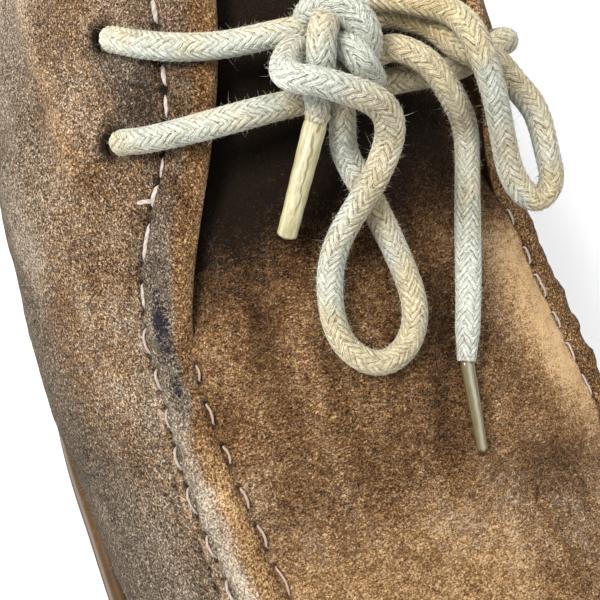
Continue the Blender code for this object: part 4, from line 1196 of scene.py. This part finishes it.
def smooth_route(points, step):
    """Evenly spaced points, about step apart, on the smooth curve through a route's points."""
    points = np.asarray(points, float)
    knots = np.concatenate([[0], np.cumsum(np.sqrt(np.linalg.norm(np.diff(points, axis=0), axis=1)))])
    gaps = np.diff(knots)
    system = np.eye(len(points))
    pull = np.zeros_like(points)
    for i in range(1, len(points) - 1):
        system[i, i - 1:i + 2] = gaps[i - 1], 2 * (gaps[i - 1] + gaps[i]), gaps[i]
        after = (points[i + 1] - points[i]) / gaps[i]
        before = (points[i] - points[i - 1]) / gaps[i - 1]
        pull[i] = 6 * (after - before)
    bend = np.linalg.solve(system, pull)
    at = np.linspace(0, knots[-1], 60 * len(points))
    k = np.clip(np.searchsorted(knots, at, side="right") - 1, 0, len(points) - 2)
    near_end, width = (at - knots[k])[:, None], gaps[k][:, None]
    far_end = width - near_end
    curve = ((far_end ** 3 * bend[k] + near_end ** 3 * bend[k + 1]) / (6 * width)
             + (points[k] / width - bend[k] * width / 6) * far_end
             + (points[k + 1] / width - bend[k + 1] * width / 6) * near_end)
    run = run_along(curve)
    even = np.linspace(0, run[-1], int(round(run[-1] / step)) + 1)
    return np.stack([np.interp(even, run, curve[:, axis]) for axis in range(3)], -1)


def cotton_finish():
    material, tone, feed = finish_of(
        "unbleached cotton", Specular_IOR_Level=0.15, Sheen_Weight=0.35, Sheen_Roughness=0.5,
        Sheen_Tint=paint(*COTTON_SHEEN))
    leaf, across, soiled = tone.mark("leaf"), tone.mark("across"), tone.mark("soiled")
    stray = tone.noise(2.6 * MM, 2, 0.6)
    leaf = leaf + (stray - 0.5) * 1.3 + (tone.noise(0.8 * MM, 2, 0.6) - 0.5) * 0.3
    leaning = tone.math("GREATER_THAN", tone.mark("side_of"), 0.0)
    leaf = leaf + leaning * 0.5
    skein = tone.node("ShaderNodeCombineXYZ", None, {0: leaf, 1: across * 0.16, 2: leaning * 7})
    strand = tone.noise(0.17, 2, 0.6, where=skein)
    within = tone.math("FRACT", leaf)
    middle = 1 - tone.math("ABSOLUTE", within * 2 - 1)
    rise = (middle * 1.5 - tone.math("POWER", across, 3.0) * 0.6).grade(-0.05, 0.75)
    thread = tone.math("SINE", leaf * (2 * math.pi * LEAF_THREADS)) * 0.5 + 0.5
    fibre = tone.noise(0.2 * MM, 3, 0.7)
    fluff = tone.noise(0.7 * MM, 3, 0.6, warp=0.8)
    patch = tone.noise(9 * MM, 2, 0.5)
    # rise is painted shade: darker between the leaves of the plait and at their edges
    level = (rise * 0.2 + thread * 0.16 + (strand - 0.5) * 1.05 + (fibre - 0.5) * 0.6
             + (fluff - 0.5) * 0.7 + (patch - 0.5) * 0.3 + 0.2)
    warm = level.shades(COTTON_PLACES, COTTON_WARM)
    cool = level.shades(COTTON_PLACES, COTTON_COOL)
    colour = (tone.noise(14 * MM, 2, 0.5) - soiled * 0.3).grade(0.34, 0.62).over(warm, cool)
    dirt = (soiled + (patch - 0.5) * 0.5 + (fibre - 0.5) * 0.3).grade(0.25, 1.0)
    tan = level.shades(SOILED_PLACES, COTTON_SOILED)
    feed("Base Color", (dirt * 0.85).over(colour, tan))
    feed("Roughness", 0.85 + fibre * 0.12)
    relief = rise * 0.45 + thread * 0.3 + strand * 1.2 + fibre * 0.5 + fluff * 0.5
    feed("Normal", relief.bump(0.16 * MM))
    return material


def plait(route, seed, soiled=(), radius=LACE_RADIUS, slim=(), pinched=()):
    """A plaited lace along a route in millimetres: its points, faces and marks, and its middle line.
    soiled has places (mm), reach and strength; slim has shares of the run and of the radius;
    pinched has the places (m) of the holes that squeeze it."""
    line = smooth_route(np.asarray(route, float) * MM, LACE_STEP)
    count = len(line)
    ahead = unit(np.gradient(line, axis=0))
    side = np.empty_like(line)
    side[0] = np.cross(ahead[0], (0.3, 0.2, 1.0))
    for k in range(1, count):
        side[k] = side[k - 1] - ahead[k] * (side[k - 1] @ ahead[k])
        side[k] /= np.linalg.norm(side[k])
    side[0] = side[1]
    up = np.cross(ahead, side)
    run = np.arange(count)[:, None] * LACE_STEP
    column = (np.arange(LACE_SIDES) / LACE_SIDES * LACE_PLAITS)[None]
    zig = abs(2 * ((column / 2 + 0.25) % 1) - 1)
    side_of = np.cos(math.pi * column)
    wobble = 0.12 * np.sin(run / (6.1 * MM) + seed) + 0.1 * np.sin(run / (2.7 * MM) + 2.1 * seed)
    leaf = run / LEAF_PITCH + LEAF_LEAN * zig + wobble
    across = abs(2 * zig - 1)
    middle = 1 - abs(2 * ((leaf + 0.5 * (side_of > 0)) % 1) - 1)
    height = np.clip(1.4 * middle - 0.5 * across ** 3, 0, 1) ** 0.8
    turn = column / LACE_PLAITS * 2 * math.pi + run / LACE_TWIST * 2 * math.pi + seed
    share = run / run[-1]
    thick = radius * (1 + 0.025 * np.sin(run / (4.3 * MM) + seed)
                      + 0.03 * np.sin(2 * turn + run / (9 * MM)))
    if len(slim):
        thick = thick * np.interp(share, *zip(*slim))
    for hole in pinched:
        thick = thick * (1 - 0.1 * near(np.linalg.norm(line - hole, axis=1), 0, 3.0 * MM))[:, None]
    reach = thick - LEAF_SUNK + LEAF_RISE * height
    rings = (line[:, None] + side[:, None] * (np.cos(turn) * reach)[..., None]
             + up[:, None] * (np.sin(turn) * reach)[..., None])
    rings += (ahead * (0.06 * MM))[:, None] * lumps(rings, 1.6 * MM, seed + 40)[..., None]
    dirt = np.zeros(rings.shape[:2])
    for middle, far, strength in soiled:
        away = np.linalg.norm(rings - np.array(middle) * MM, axis=-1)
        dirt += strength * near(away, 0, far * MM)
    tones = {"leaf": leaf, "across": across + 0 * run, "side_of": side_of + 0 * run, "soiled": dirt}
    tones = {name: values.ravel() for name, values in tones.items()}
    return rings.reshape(-1, 3), tube_faces(count, LACE_SIDES), tones, line


def through_eyelet(row, below, inside, outside):
    """Route of the lace from under the wall out through an eyelet, pulled flat towards both points."""
    place, facing = wall_spot(row, below)
    level = []
    for target in (inside, outside):
        away = np.asarray(target) - place
        away -= facing * (away @ facing)
        level.append(away / np.linalg.norm(away))
    pulled = level[1] * HOLE_PULL
    route = [place + pulled * 0.5 - facing * down * MM + level[0] * away * MM
             for away, down in LACE_UNDER]
    return route + [place + pulled + facing * rise * MM + level[1] * away * MM
                    for away, rise in LACE_OVER]


top_outer, low_outer, top_inner, low_inner = EYELETS
under_flap = []
for first, second in ((top_outer, low_outer), (top_inner, low_inner)):
    place, facing = wall_spot((first[0] + second[0]) / 2, (first[1] + second[1]) / 2)
    under_flap.append(place - facing * (WALL + LACE_BEND))
first, across, last = (np.array(route) * MM for route in (
    BAR_KNOT_TO_TOP_OUTER, BAR_LOW_OUTER_TO_LOW_INNER, BAR_TOP_INNER_TO_KNOT))
route = [
    *first,
    *through_eyelet(*top_outer, under_flap[0], first[-1])[::-1],
    under_flap[0],
    *through_eyelet(*low_outer, under_flap[0], across[0]),
    *across,
    *through_eyelet(*low_inner, under_flap[1], across[-1])[::-1],
    under_flap[1],
    *through_eyelet(*top_inner, under_flap[1], last[0]),
    *last,
]
cotton = cotton_finish()
points, faces, tones, _ = plait(
    np.array(route) / MM, 1, pinched=[middle for middle, facing in holes],
    soiled=(((-30, 4, 89), 7, 0.25), ((10, -3, 98), 12, 0.35), ((31, 18, 104), 9, 0.4)))
bars = build("lace_bars_plait", points, faces, tones, cotton)
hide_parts("lace_bars")

# ------------------------------------------------------------------ knot, loops and ends
# The rest of the same lace: each half leaves the knot as a loop, turns back into it and comes
# out as a short end. Two turns wrap round them and are pulled tight over the instep.
LOOSE_LACES = (
    # name, loop from the knot and back, its hidden turn in the knot, the end
    ("outer", (
        (-7.5, 4.5, 103), (-9.5, 3, 104.5), (-12, 0, 106), (-12.5, -3, 108), (-10, -5, 109),
        (-5.5, -7.5, 108.5), (-1, -10, 106.5), (0.5, -12.5, 102.5), (-1, -15, 99.5), (-3, -17, 96.5),
        (-8, -21, 89), (-10.5, -26.5, 83.5), (-10.5, -34, 80), (-6, -38.5, 78.5), (-0.5, -37.5, 78.5),
        (2.5, -33, 81), (1.5, -24.5, 86), (-1.5, -15.5, 91.5), (-3.5, -9.5, 95), (-4, -7, 99.5),
        (-4, -4.5, 102),
    ), (
        (-2.5, 0, 102.5), (0.5, 5.5, 103), (0, 8, 105),
    ), (
        (-3, 5.5, 107.5), (-6, 2, 109.5), (-7, -0.5, 108.5), (-7, -1.5, 106), (-7.5, -2.5, 103.5),
        (-8, -5, 102.5), (-8.5, -6.5, 101),
    )),
    ("inner", (
        (3.5, 8, 107), (7.5, 6.5, 108), (11, 4, 109), (15, 1.5, 109), (16.5, -2.5, 109.5),
        (17, -6.5, 108.5), (19, -10.5, 104), (21.5, -16, 96.5), (23.5, -21, 91.5), (27, -24, 89.5),
        (30, -22.5, 90.5), (30, -18.5, 93.5), (28.5, -12.5, 98), (25, -8, 101), (22.5, -5.5, 103),
        (18.5, -3.5, 104), (16, -1, 104.5), (14, 2.5, 104.5), (10.5, 5.5, 104), (7, 6.5, 104),
    ), (
        (3.5, 5.5, 103), (0.5, 3.5, 101.5), (2.5, 1, 102.5),
    ), (
        (5.5, 0.5, 104), (7, -0.5, 105), (10, -3.5, 105), (12.5, -6.5, 103), (16, -9, 98),
        (18, -11.5, 93.5), (17, -18.5, 88), (15.5, -26.5, 82), (13, -33.5, 79.5), (9.5, -42.5, 76),
    )),
)
SOILED = {
    # place (mm), reach (mm) and strength
    "outer": (((-5.5, 2.5, 109), 6.5, 0.25), ((0, -16, 92), 7, 0.5), ((-4, -33, 80), 12, 0.4)),
    "inner": (((11, -32, 80), 14, -0.7), ((27, -25, 89), 7, 0.55), ((12, 5, 104.5), 9, 0.5),
              ((11, 4, 109.5), 9, 0.35)),
}
KNOT_CLEAN = (((0, 4, 107), 14, -0.7),)
KNOT_WRAPS = (
    # turns of the knot, as routes (mm), and how thick they are against the lace
    (((-3.5, 8.5, 101), (-3.8, 8.8, 104), (-3.5, 8, 107), (-2.2, 6.6, 109.3), (-0.8, 4.4, 110),
      (0.6, 2.4, 109), (1.6, 1, 106.5), (2.4, 0.6, 102.5)), 1.16),
    (((-3.2, 5, 102.5), (-2.4, 2.8, 105), (-2, 0.6, 107), (-1.3, -1.6, 107.3), (0.2, -2.6, 105.4),
      (2.6, -2.8, 101.5)), 1.05),
)
AGLETS = {
    # tip (mm), diameter at the lace and at the tip (mm), how much of the suede below shows through
    "outer": ((-15, -17.5, 87), 3.3, 3.1, 0.0),
    "inner": ((7.5, -56.5, 71), 2.2, 1.8, 0.7),
}
LACE_SLIM = {
    # share of the run, and thickness there
    "outer": ((0, 1.08), (0.2, 1.04), (0.3, 1), (0.84, 1), (0.88, 1.14), (0.93, 1.1), (0.97, 1),
              (1, 0.8)),
    "inner": ((0, 1), (0.97, 1), (1, 0.74)),
}
AGLET_SIDES = 40
AGLET_STATIONS = 90
AGLET_OVER = 1.2             # mm of the lace that the film covers
AGLET_OVAL = (1.05, 0.86)    # across and up, against round
CRACK_FROM_TOP = 0.15        # radians round the aglet
FILM_PLACES = (0.3, 0.5, 0.7)
FILM_SHADES = ((136, 128, 90), (178, 170, 134), (216, 213, 192))
FILM_VEIN = (128, 112, 60)
FILM_CRACK = (110, 94, 38)
FILM_CLEAR = (78, 66, 32)    # the suede that shows through
FILM_PAINTED_HIGHLIGHT = (214, 209, 188)   # painted highlight along the film


def aglet_plastic():
    material, tone, feed = finish_of(
        "clear aglet film", Specular_IOR_Level=0.5, Coat_Roughness=0.06, Transmission_Weight=0.1,
        Coat_Tint=(1.0, 1.0, 0.97, 1.0))
    skin = tone.mark("skin", wide=True)
    streak = tone.noise(1.3 * MM, 2, 0.6, warp=0.5, where=skin)
    vein = 1 - tone.math("ABSOLUTE", tone.noise(0.9 * MM, 3, 0.6, warp=1.0, where=skin) - 0.48) * 16
    broken = tone.noise(0.6 * MM, 3, 0.6, where=skin)
    crack = (tone.mark("crack") + (broken - 0.5) * 2.4).grade(0.35, 0.85)
    fine = tone.noise(0.22 * MM, 3, 0.6, where=skin)
    colour = (streak * 0.7 + fine * 0.3).shades(FILM_PLACES, FILM_SHADES)
    clear = (tone.mark("clear") * 1.25 + (streak - 0.5) * 0.4).grade(0.0, 1.0)
    # the last layer is a painted highlight along the film
    layers = ((vein.grade(0.0, 1.0) * 0.3, FILM_VEIN), (crack * 0.75, FILM_CRACK), (clear, FILM_CLEAR),
              (tone.mark("painted_highlight") * (0.2 + streak * 0.5), FILM_PAINTED_HIGHLIGHT))
    for share, swatch in layers:
        colour = share.over(colour, paint(*swatch))
    feed("Base Color", colour)
    feed("Roughness", 0.2 + fine * 0.25)
    feed("Coat Weight", 0.7 + 0.3 * streak)
    feed("Normal", (streak * 0.4 + fine * 0.2 - crack * 0.5).bump(0.12 * MM))
    return material


def aglet_film(last, tip, wide, narrow, clear, seed):
    """Points and marks of the film from the lace's last point (m) to its tip, with its diameters at
    both (mm) and how much of the suede shows through it."""
    along = np.array(tip) * MM - last
    along /= np.linalg.norm(along)
    start = last - along * AGLET_OVER * MM
    side = np.cross(along, (0.0, 0.0, 1.0))
    side /= np.linalg.norm(side)
    up = np.cross(side, along)
    share = np.linspace(0, 1, AGLET_STATIONS)[:, None]
    angle = (np.arange(AGLET_SIDES) * 2 * math.pi / AGLET_SIDES)[None]
    length = np.linalg.norm(np.array(tip) * MM - start)
    reach = MM / 2 * (wide + (narrow - wide) * smooth(share, 0.0, 0.9))
    # out of round, crimped on the lace, closed at the tip, and lifted at the edge of the film
    reach = reach * (1 + 0.03 * np.cos(2 * angle + 3 * share) + 0.012 * np.sin(share * 37 + seed))
    reach = reach * (1 + 0.10 * near(share, 0.02, 0.025) - 0.06 * near(share, 0.08, 0.02))
    reach = reach * np.sqrt(np.clip(1 - smooth(share, 0.965, 1.002) * 0.95, 0.02, 1))
    reach = reach + 0.05 * MM * near((angle - 2.4) % (2 * math.pi), 0.3, 0.12)
    rings = (start + along * (share * length)[..., None]
             + side * (np.cos(angle) * reach * AGLET_OVAL[0])[..., None]
             + up * (np.sin(angle) * reach * AGLET_OVAL[1])[..., None])
    skin = [np.cos(angle) * reach, np.sin(angle) * reach, 0.16 * share * length + 0 * angle]
    wander = lumps(share * length * np.array([[1.0, 0.0, 0.0]]), 2.4 * MM, seed)[:, None]
    crack = ((1 - clear) * near(angle - math.pi / 2, CRACK_FROM_TOP + 0.2 * wander, 0.17)
             * smooth(share, 0.04, 0.12) * (1 - smooth(share, 0.8, 0.95)))
    # painted highlight: a pale stripe along the top of the film
    painted_highlight = clear * near(angle - math.pi / 2, -0.1 + 0.12 * wander, 0.34)
    tones = {"skin": np.stack(skin, -1).reshape(-1, 3), "crack": crack.ravel(), "painted_highlight": painted_highlight.ravel(),
             "clear": np.full(crack.size, clear)}
    return rings.reshape(-1, 3), tones


film = aglet_plastic()
loose = {}
for seed, (name, *parts) in enumerate(LOOSE_LACES, 2):
    points, faces, tones, line = plait(sum(parts, ()), seed, SOILED[name], slim=LACE_SLIM[name])
    lace = build(f"lace_{name}_plait", points, faces, tones, cotton)
    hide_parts(f"lace_loop_{name}", f"lace_end_{name}")
    points, tones = aglet_film(line[-1], *AGLETS[name], seed)
    aglet = build(f"aglet_{name}_film", points, tube_faces(AGLET_STATIONS, AGLET_SIDES), tones, film)
    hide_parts(f"aglet_{name}")
    loose[name] = lace, line, aglet
wraps = [plait(route, 5 + k, KNOT_CLEAN, radius=LACE_RADIUS * thick)
         for k, (route, thick) in enumerate(KNOT_WRAPS)]
counts = np.concatenate([[0], np.cumsum([len(wrap[0]) for wrap in wraps])])
knot = build(
    "lace_knot_wraps", np.concatenate([wrap[0] for wrap in wraps]),
    [faces + start for wrap, start in zip(wraps, counts) for faces in wrap[1]],
    {name: np.concatenate([wrap[2][name] for wrap in wraps]) for name in wraps[0][2]}, cotton)
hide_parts("lace_knot")
for name, (lace, line, aglet) in loose.items():
    [tuple(place) for place in line[:-4:8]] + [tuple(line[-1])]
    [aglet, knot] if name == "outer" else [aglet]

# ------------------------------------------------------------------ fuzz of the lace and the nap
# Loose ends of fibre that handling has raised: fine hairs drawn out to a point. On the lace most
# are short and straight and the longer ones curl along it; the hide's own nap stands round its foot.
FUZZ = (
    # piece, short hairs, long hairs
    ("lace_bars_plait", 14000, 3000),
    ("lace_outer_plait", 13000, 2800),
    ("lace_inner_plait", 12000, 2600),
    ("lace_knot_wraps", 3000, 700),
    ("suede_upper", 5500, 0),
)
SHORT_HAIRS = (0.2 * MM, 0.85 * MM)
LONG_HAIRS = (0.4 * MM, 1.3 * MM)
FUZZ_WIDTH = 0.055 * MM
FUZZ_SUNK = 0.1 * MM         # how deep the hairs are rooted
NAP_BAND = 26 * MM           # height above the sole up to which the nap stands
HAIR_TONES = {"leaf": 0.25, "across": 0.0, "side_of": -1.0, "soiled": 0.0}
NAP_TONES = {"light": 0.4, "dirt_and_painted_shade": 0.0, "grey": 0.8, "ink": 0.0, "inside": 0.0, "hole": 0.0}


def hairs(roots, ways, curls, lengths, bends):
    """Three-sided hairs drawn out to a point: roots, first directions, curls, lengths and bends."""
    count = len(roots)
    t = np.linspace(0, 1, bends + 2)[None, :, None]
    line = roots[:, None] + (ways[:, None] * t + curls[:, None] * t ** 2) * lengths[:, None, None]
    side = unit(np.cross(ways, curls))
    up = np.cross(side, ways)
    turn = np.arange(3) * 2 * math.pi / 3
    reach = FUZZ_WIDTH / 2 * (1 - 0.25 * np.arange(bends + 1))[:, None, None]
    rings = (line[:, :-1, None] + side[:, None, None] * np.cos(turn)[:, None] * reach
             + up[:, None, None] * np.sin(turn)[:, None] * reach)
    places = np.concatenate([rings.reshape(count, -1, 3), line[:, -1:]], axis=1)
    start = np.arange(count)[:, None] * places.shape[1]
    pairs = [(k, (k + 1) % 3) for k in range(3)]
    sides = [start + 3 * ring + [a, b, 3 + b, 3 + a] for ring in range(bends) for a, b in pairs]
    points = [start + [2, 1, 0]] + [start + 3 * bends + [a, b, 3] for a, b in pairs]
    return places.reshape(-1, 3), [np.concatenate(group) for group in (sides, points) if group]


for number, (name, short, long) in enumerate(FUZZ):
    mesh = bpy.data.objects[name].data
    draw = np.random.default_rng(60 + number)
    place, facing = np.empty((2, len(mesh.vertices), 3), np.float32)
    mesh.vertices.foreach_get("co", place.ravel())
    mesh.vertices.foreach_get("normal", facing.ravel())
    of_hide = name == "suede_upper"
    able = np.arange(len(place))
    if of_hide:
        low = place[:, 2] - sole_top(place[:, 1]) < NAP_BAND
        able = np.flatnonzero(low & (able < start_in) & (place[:, 0] < 0))
    chosen = draw.choice(able, short + long, replace=False)
    out = facing[chosen]
    ways = unit(out * draw.uniform(0.15, 0.8, (len(chosen), 1)) + 0.5 * draw.normal(size=out.shape))
    curls = 0.8 * draw.normal(size=out.shape) - 0.35 * out
    roots = place[chosen] - FUZZ_SUNK * out
    made, faces, start = [], [], 0
    groups = ((slice(0, short), SHORT_HAIRS, 0), (slice(short, None), LONG_HAIRS, 1))
    for part, (least, most), bends in groups:
        if len(roots[part]):
            lengths = least + (most - least) * draw.uniform(0, 1, len(roots[part])) ** 2
            points, sides = hairs(roots[part], ways[part], curls[part], lengths, bends)
            made.append(points)
            faces += [group + start for group in sides]
            start += len(points)
    tones = NAP_TONES if of_hide else HAIR_TONES
    tones = {tone: np.full(start, value) for tone, value in tones.items()}
    fuzz = build(f"{name}_fuzz", np.concatenate(made), faces, tones, brown if of_hide else cotton)

# ------------------------------------------------------------------ studio
# A pale floor, one broad soft light over the outer side, a weaker one behind the heel, and the
# camera above the outer forefoot, looking down at the laces.
CAMERA_PLACE = Vector((-70.04, -73.89, 224.95)) * MM
CAMERA_AZIMUTH, CAMERA_ELEVATION, CAMERA_ROLL = (math.radians(turn) for turn in (-48.89, 62.95, 28.13))
CAMERA_LENS = 62.33          # on a 36 mm sensor
LIGHTS = (
    # name, place (m), size (m), power (W), colour
    ("key", (-0.7, 0.2, 0.9), 0.5, 19.0, (1.0, 0.98, 0.95)),
    ("fill", (0.5, -0.6, 0.8), 0.9, 2.5, (1.0, 1.0, 1.0)),
    ("top", (0.0, 0.3, 1.1), 0.7, 4.0, (0.97, 0.98, 1.0)),
)
LIT_TOWARDS = Vector((0.0, -0.02, 0.08))
AIR = (0.97, 0.98, 1.0, 1.0)
AIR_STRENGTH = 0.62
FLOOR_SIZE = 6
FLOOR_SHADES = ((246, 246, 246), (250, 250, 250))

bpy.ops.mesh.primitive_plane_add(size=FLOOR_SIZE)
floor = bpy.context.object
floor.name = "floor"
material, tone, feed = finish_of("pale floor", Roughness=0.9, Specular_IOR_Level=0.1)
feed("Base Color", tone.noise(0.4, 2, 0.5).shades((0.0, 1.0), FLOOR_SHADES))
floor.data.materials.append(material)
for name, place, size, power, colour in LIGHTS:
    light = bpy.data.lights.new(name, "AREA")
    light.shape = "DISK"
    light.size = size
    light.energy = power
    light.color = colour
    lamp = bpy.data.objects.new(name, light)
    lamp.location = place
    lamp.rotation_euler = (LIT_TOWARDS - Vector(place)).to_track_quat("-Z", "Y").to_euler()
    bpy.context.scene.collection.objects.link(lamp)
world = bpy.data.worlds.new("studio air")
world.use_nodes = True
air = world.node_tree.nodes["Background"].inputs
air["Color"].default_value = AIR
air["Strength"].default_value = AIR_STRENGTH
bpy.context.scene.world = world
bpy.context.scene.view_settings.view_transform = "Standard"
camera = bpy.data.objects.new("camera", bpy.data.cameras.new("camera"))
camera.data.lens = CAMERA_LENS
camera.data.clip_start = 0.01
camera.location = CAMERA_PLACE
camera.rotation_euler = (Matrix.Rotation(CAMERA_AZIMUTH, 3, "Z")
                         @ Matrix.Rotation(math.pi / 2 - CAMERA_ELEVATION, 3, "X")
                         @ Matrix.Rotation(CAMERA_ROLL, 3, "Z")).to_euler()
bpy.context.scene.collection.objects.link(camera)
bpy.context.scene.camera = camera
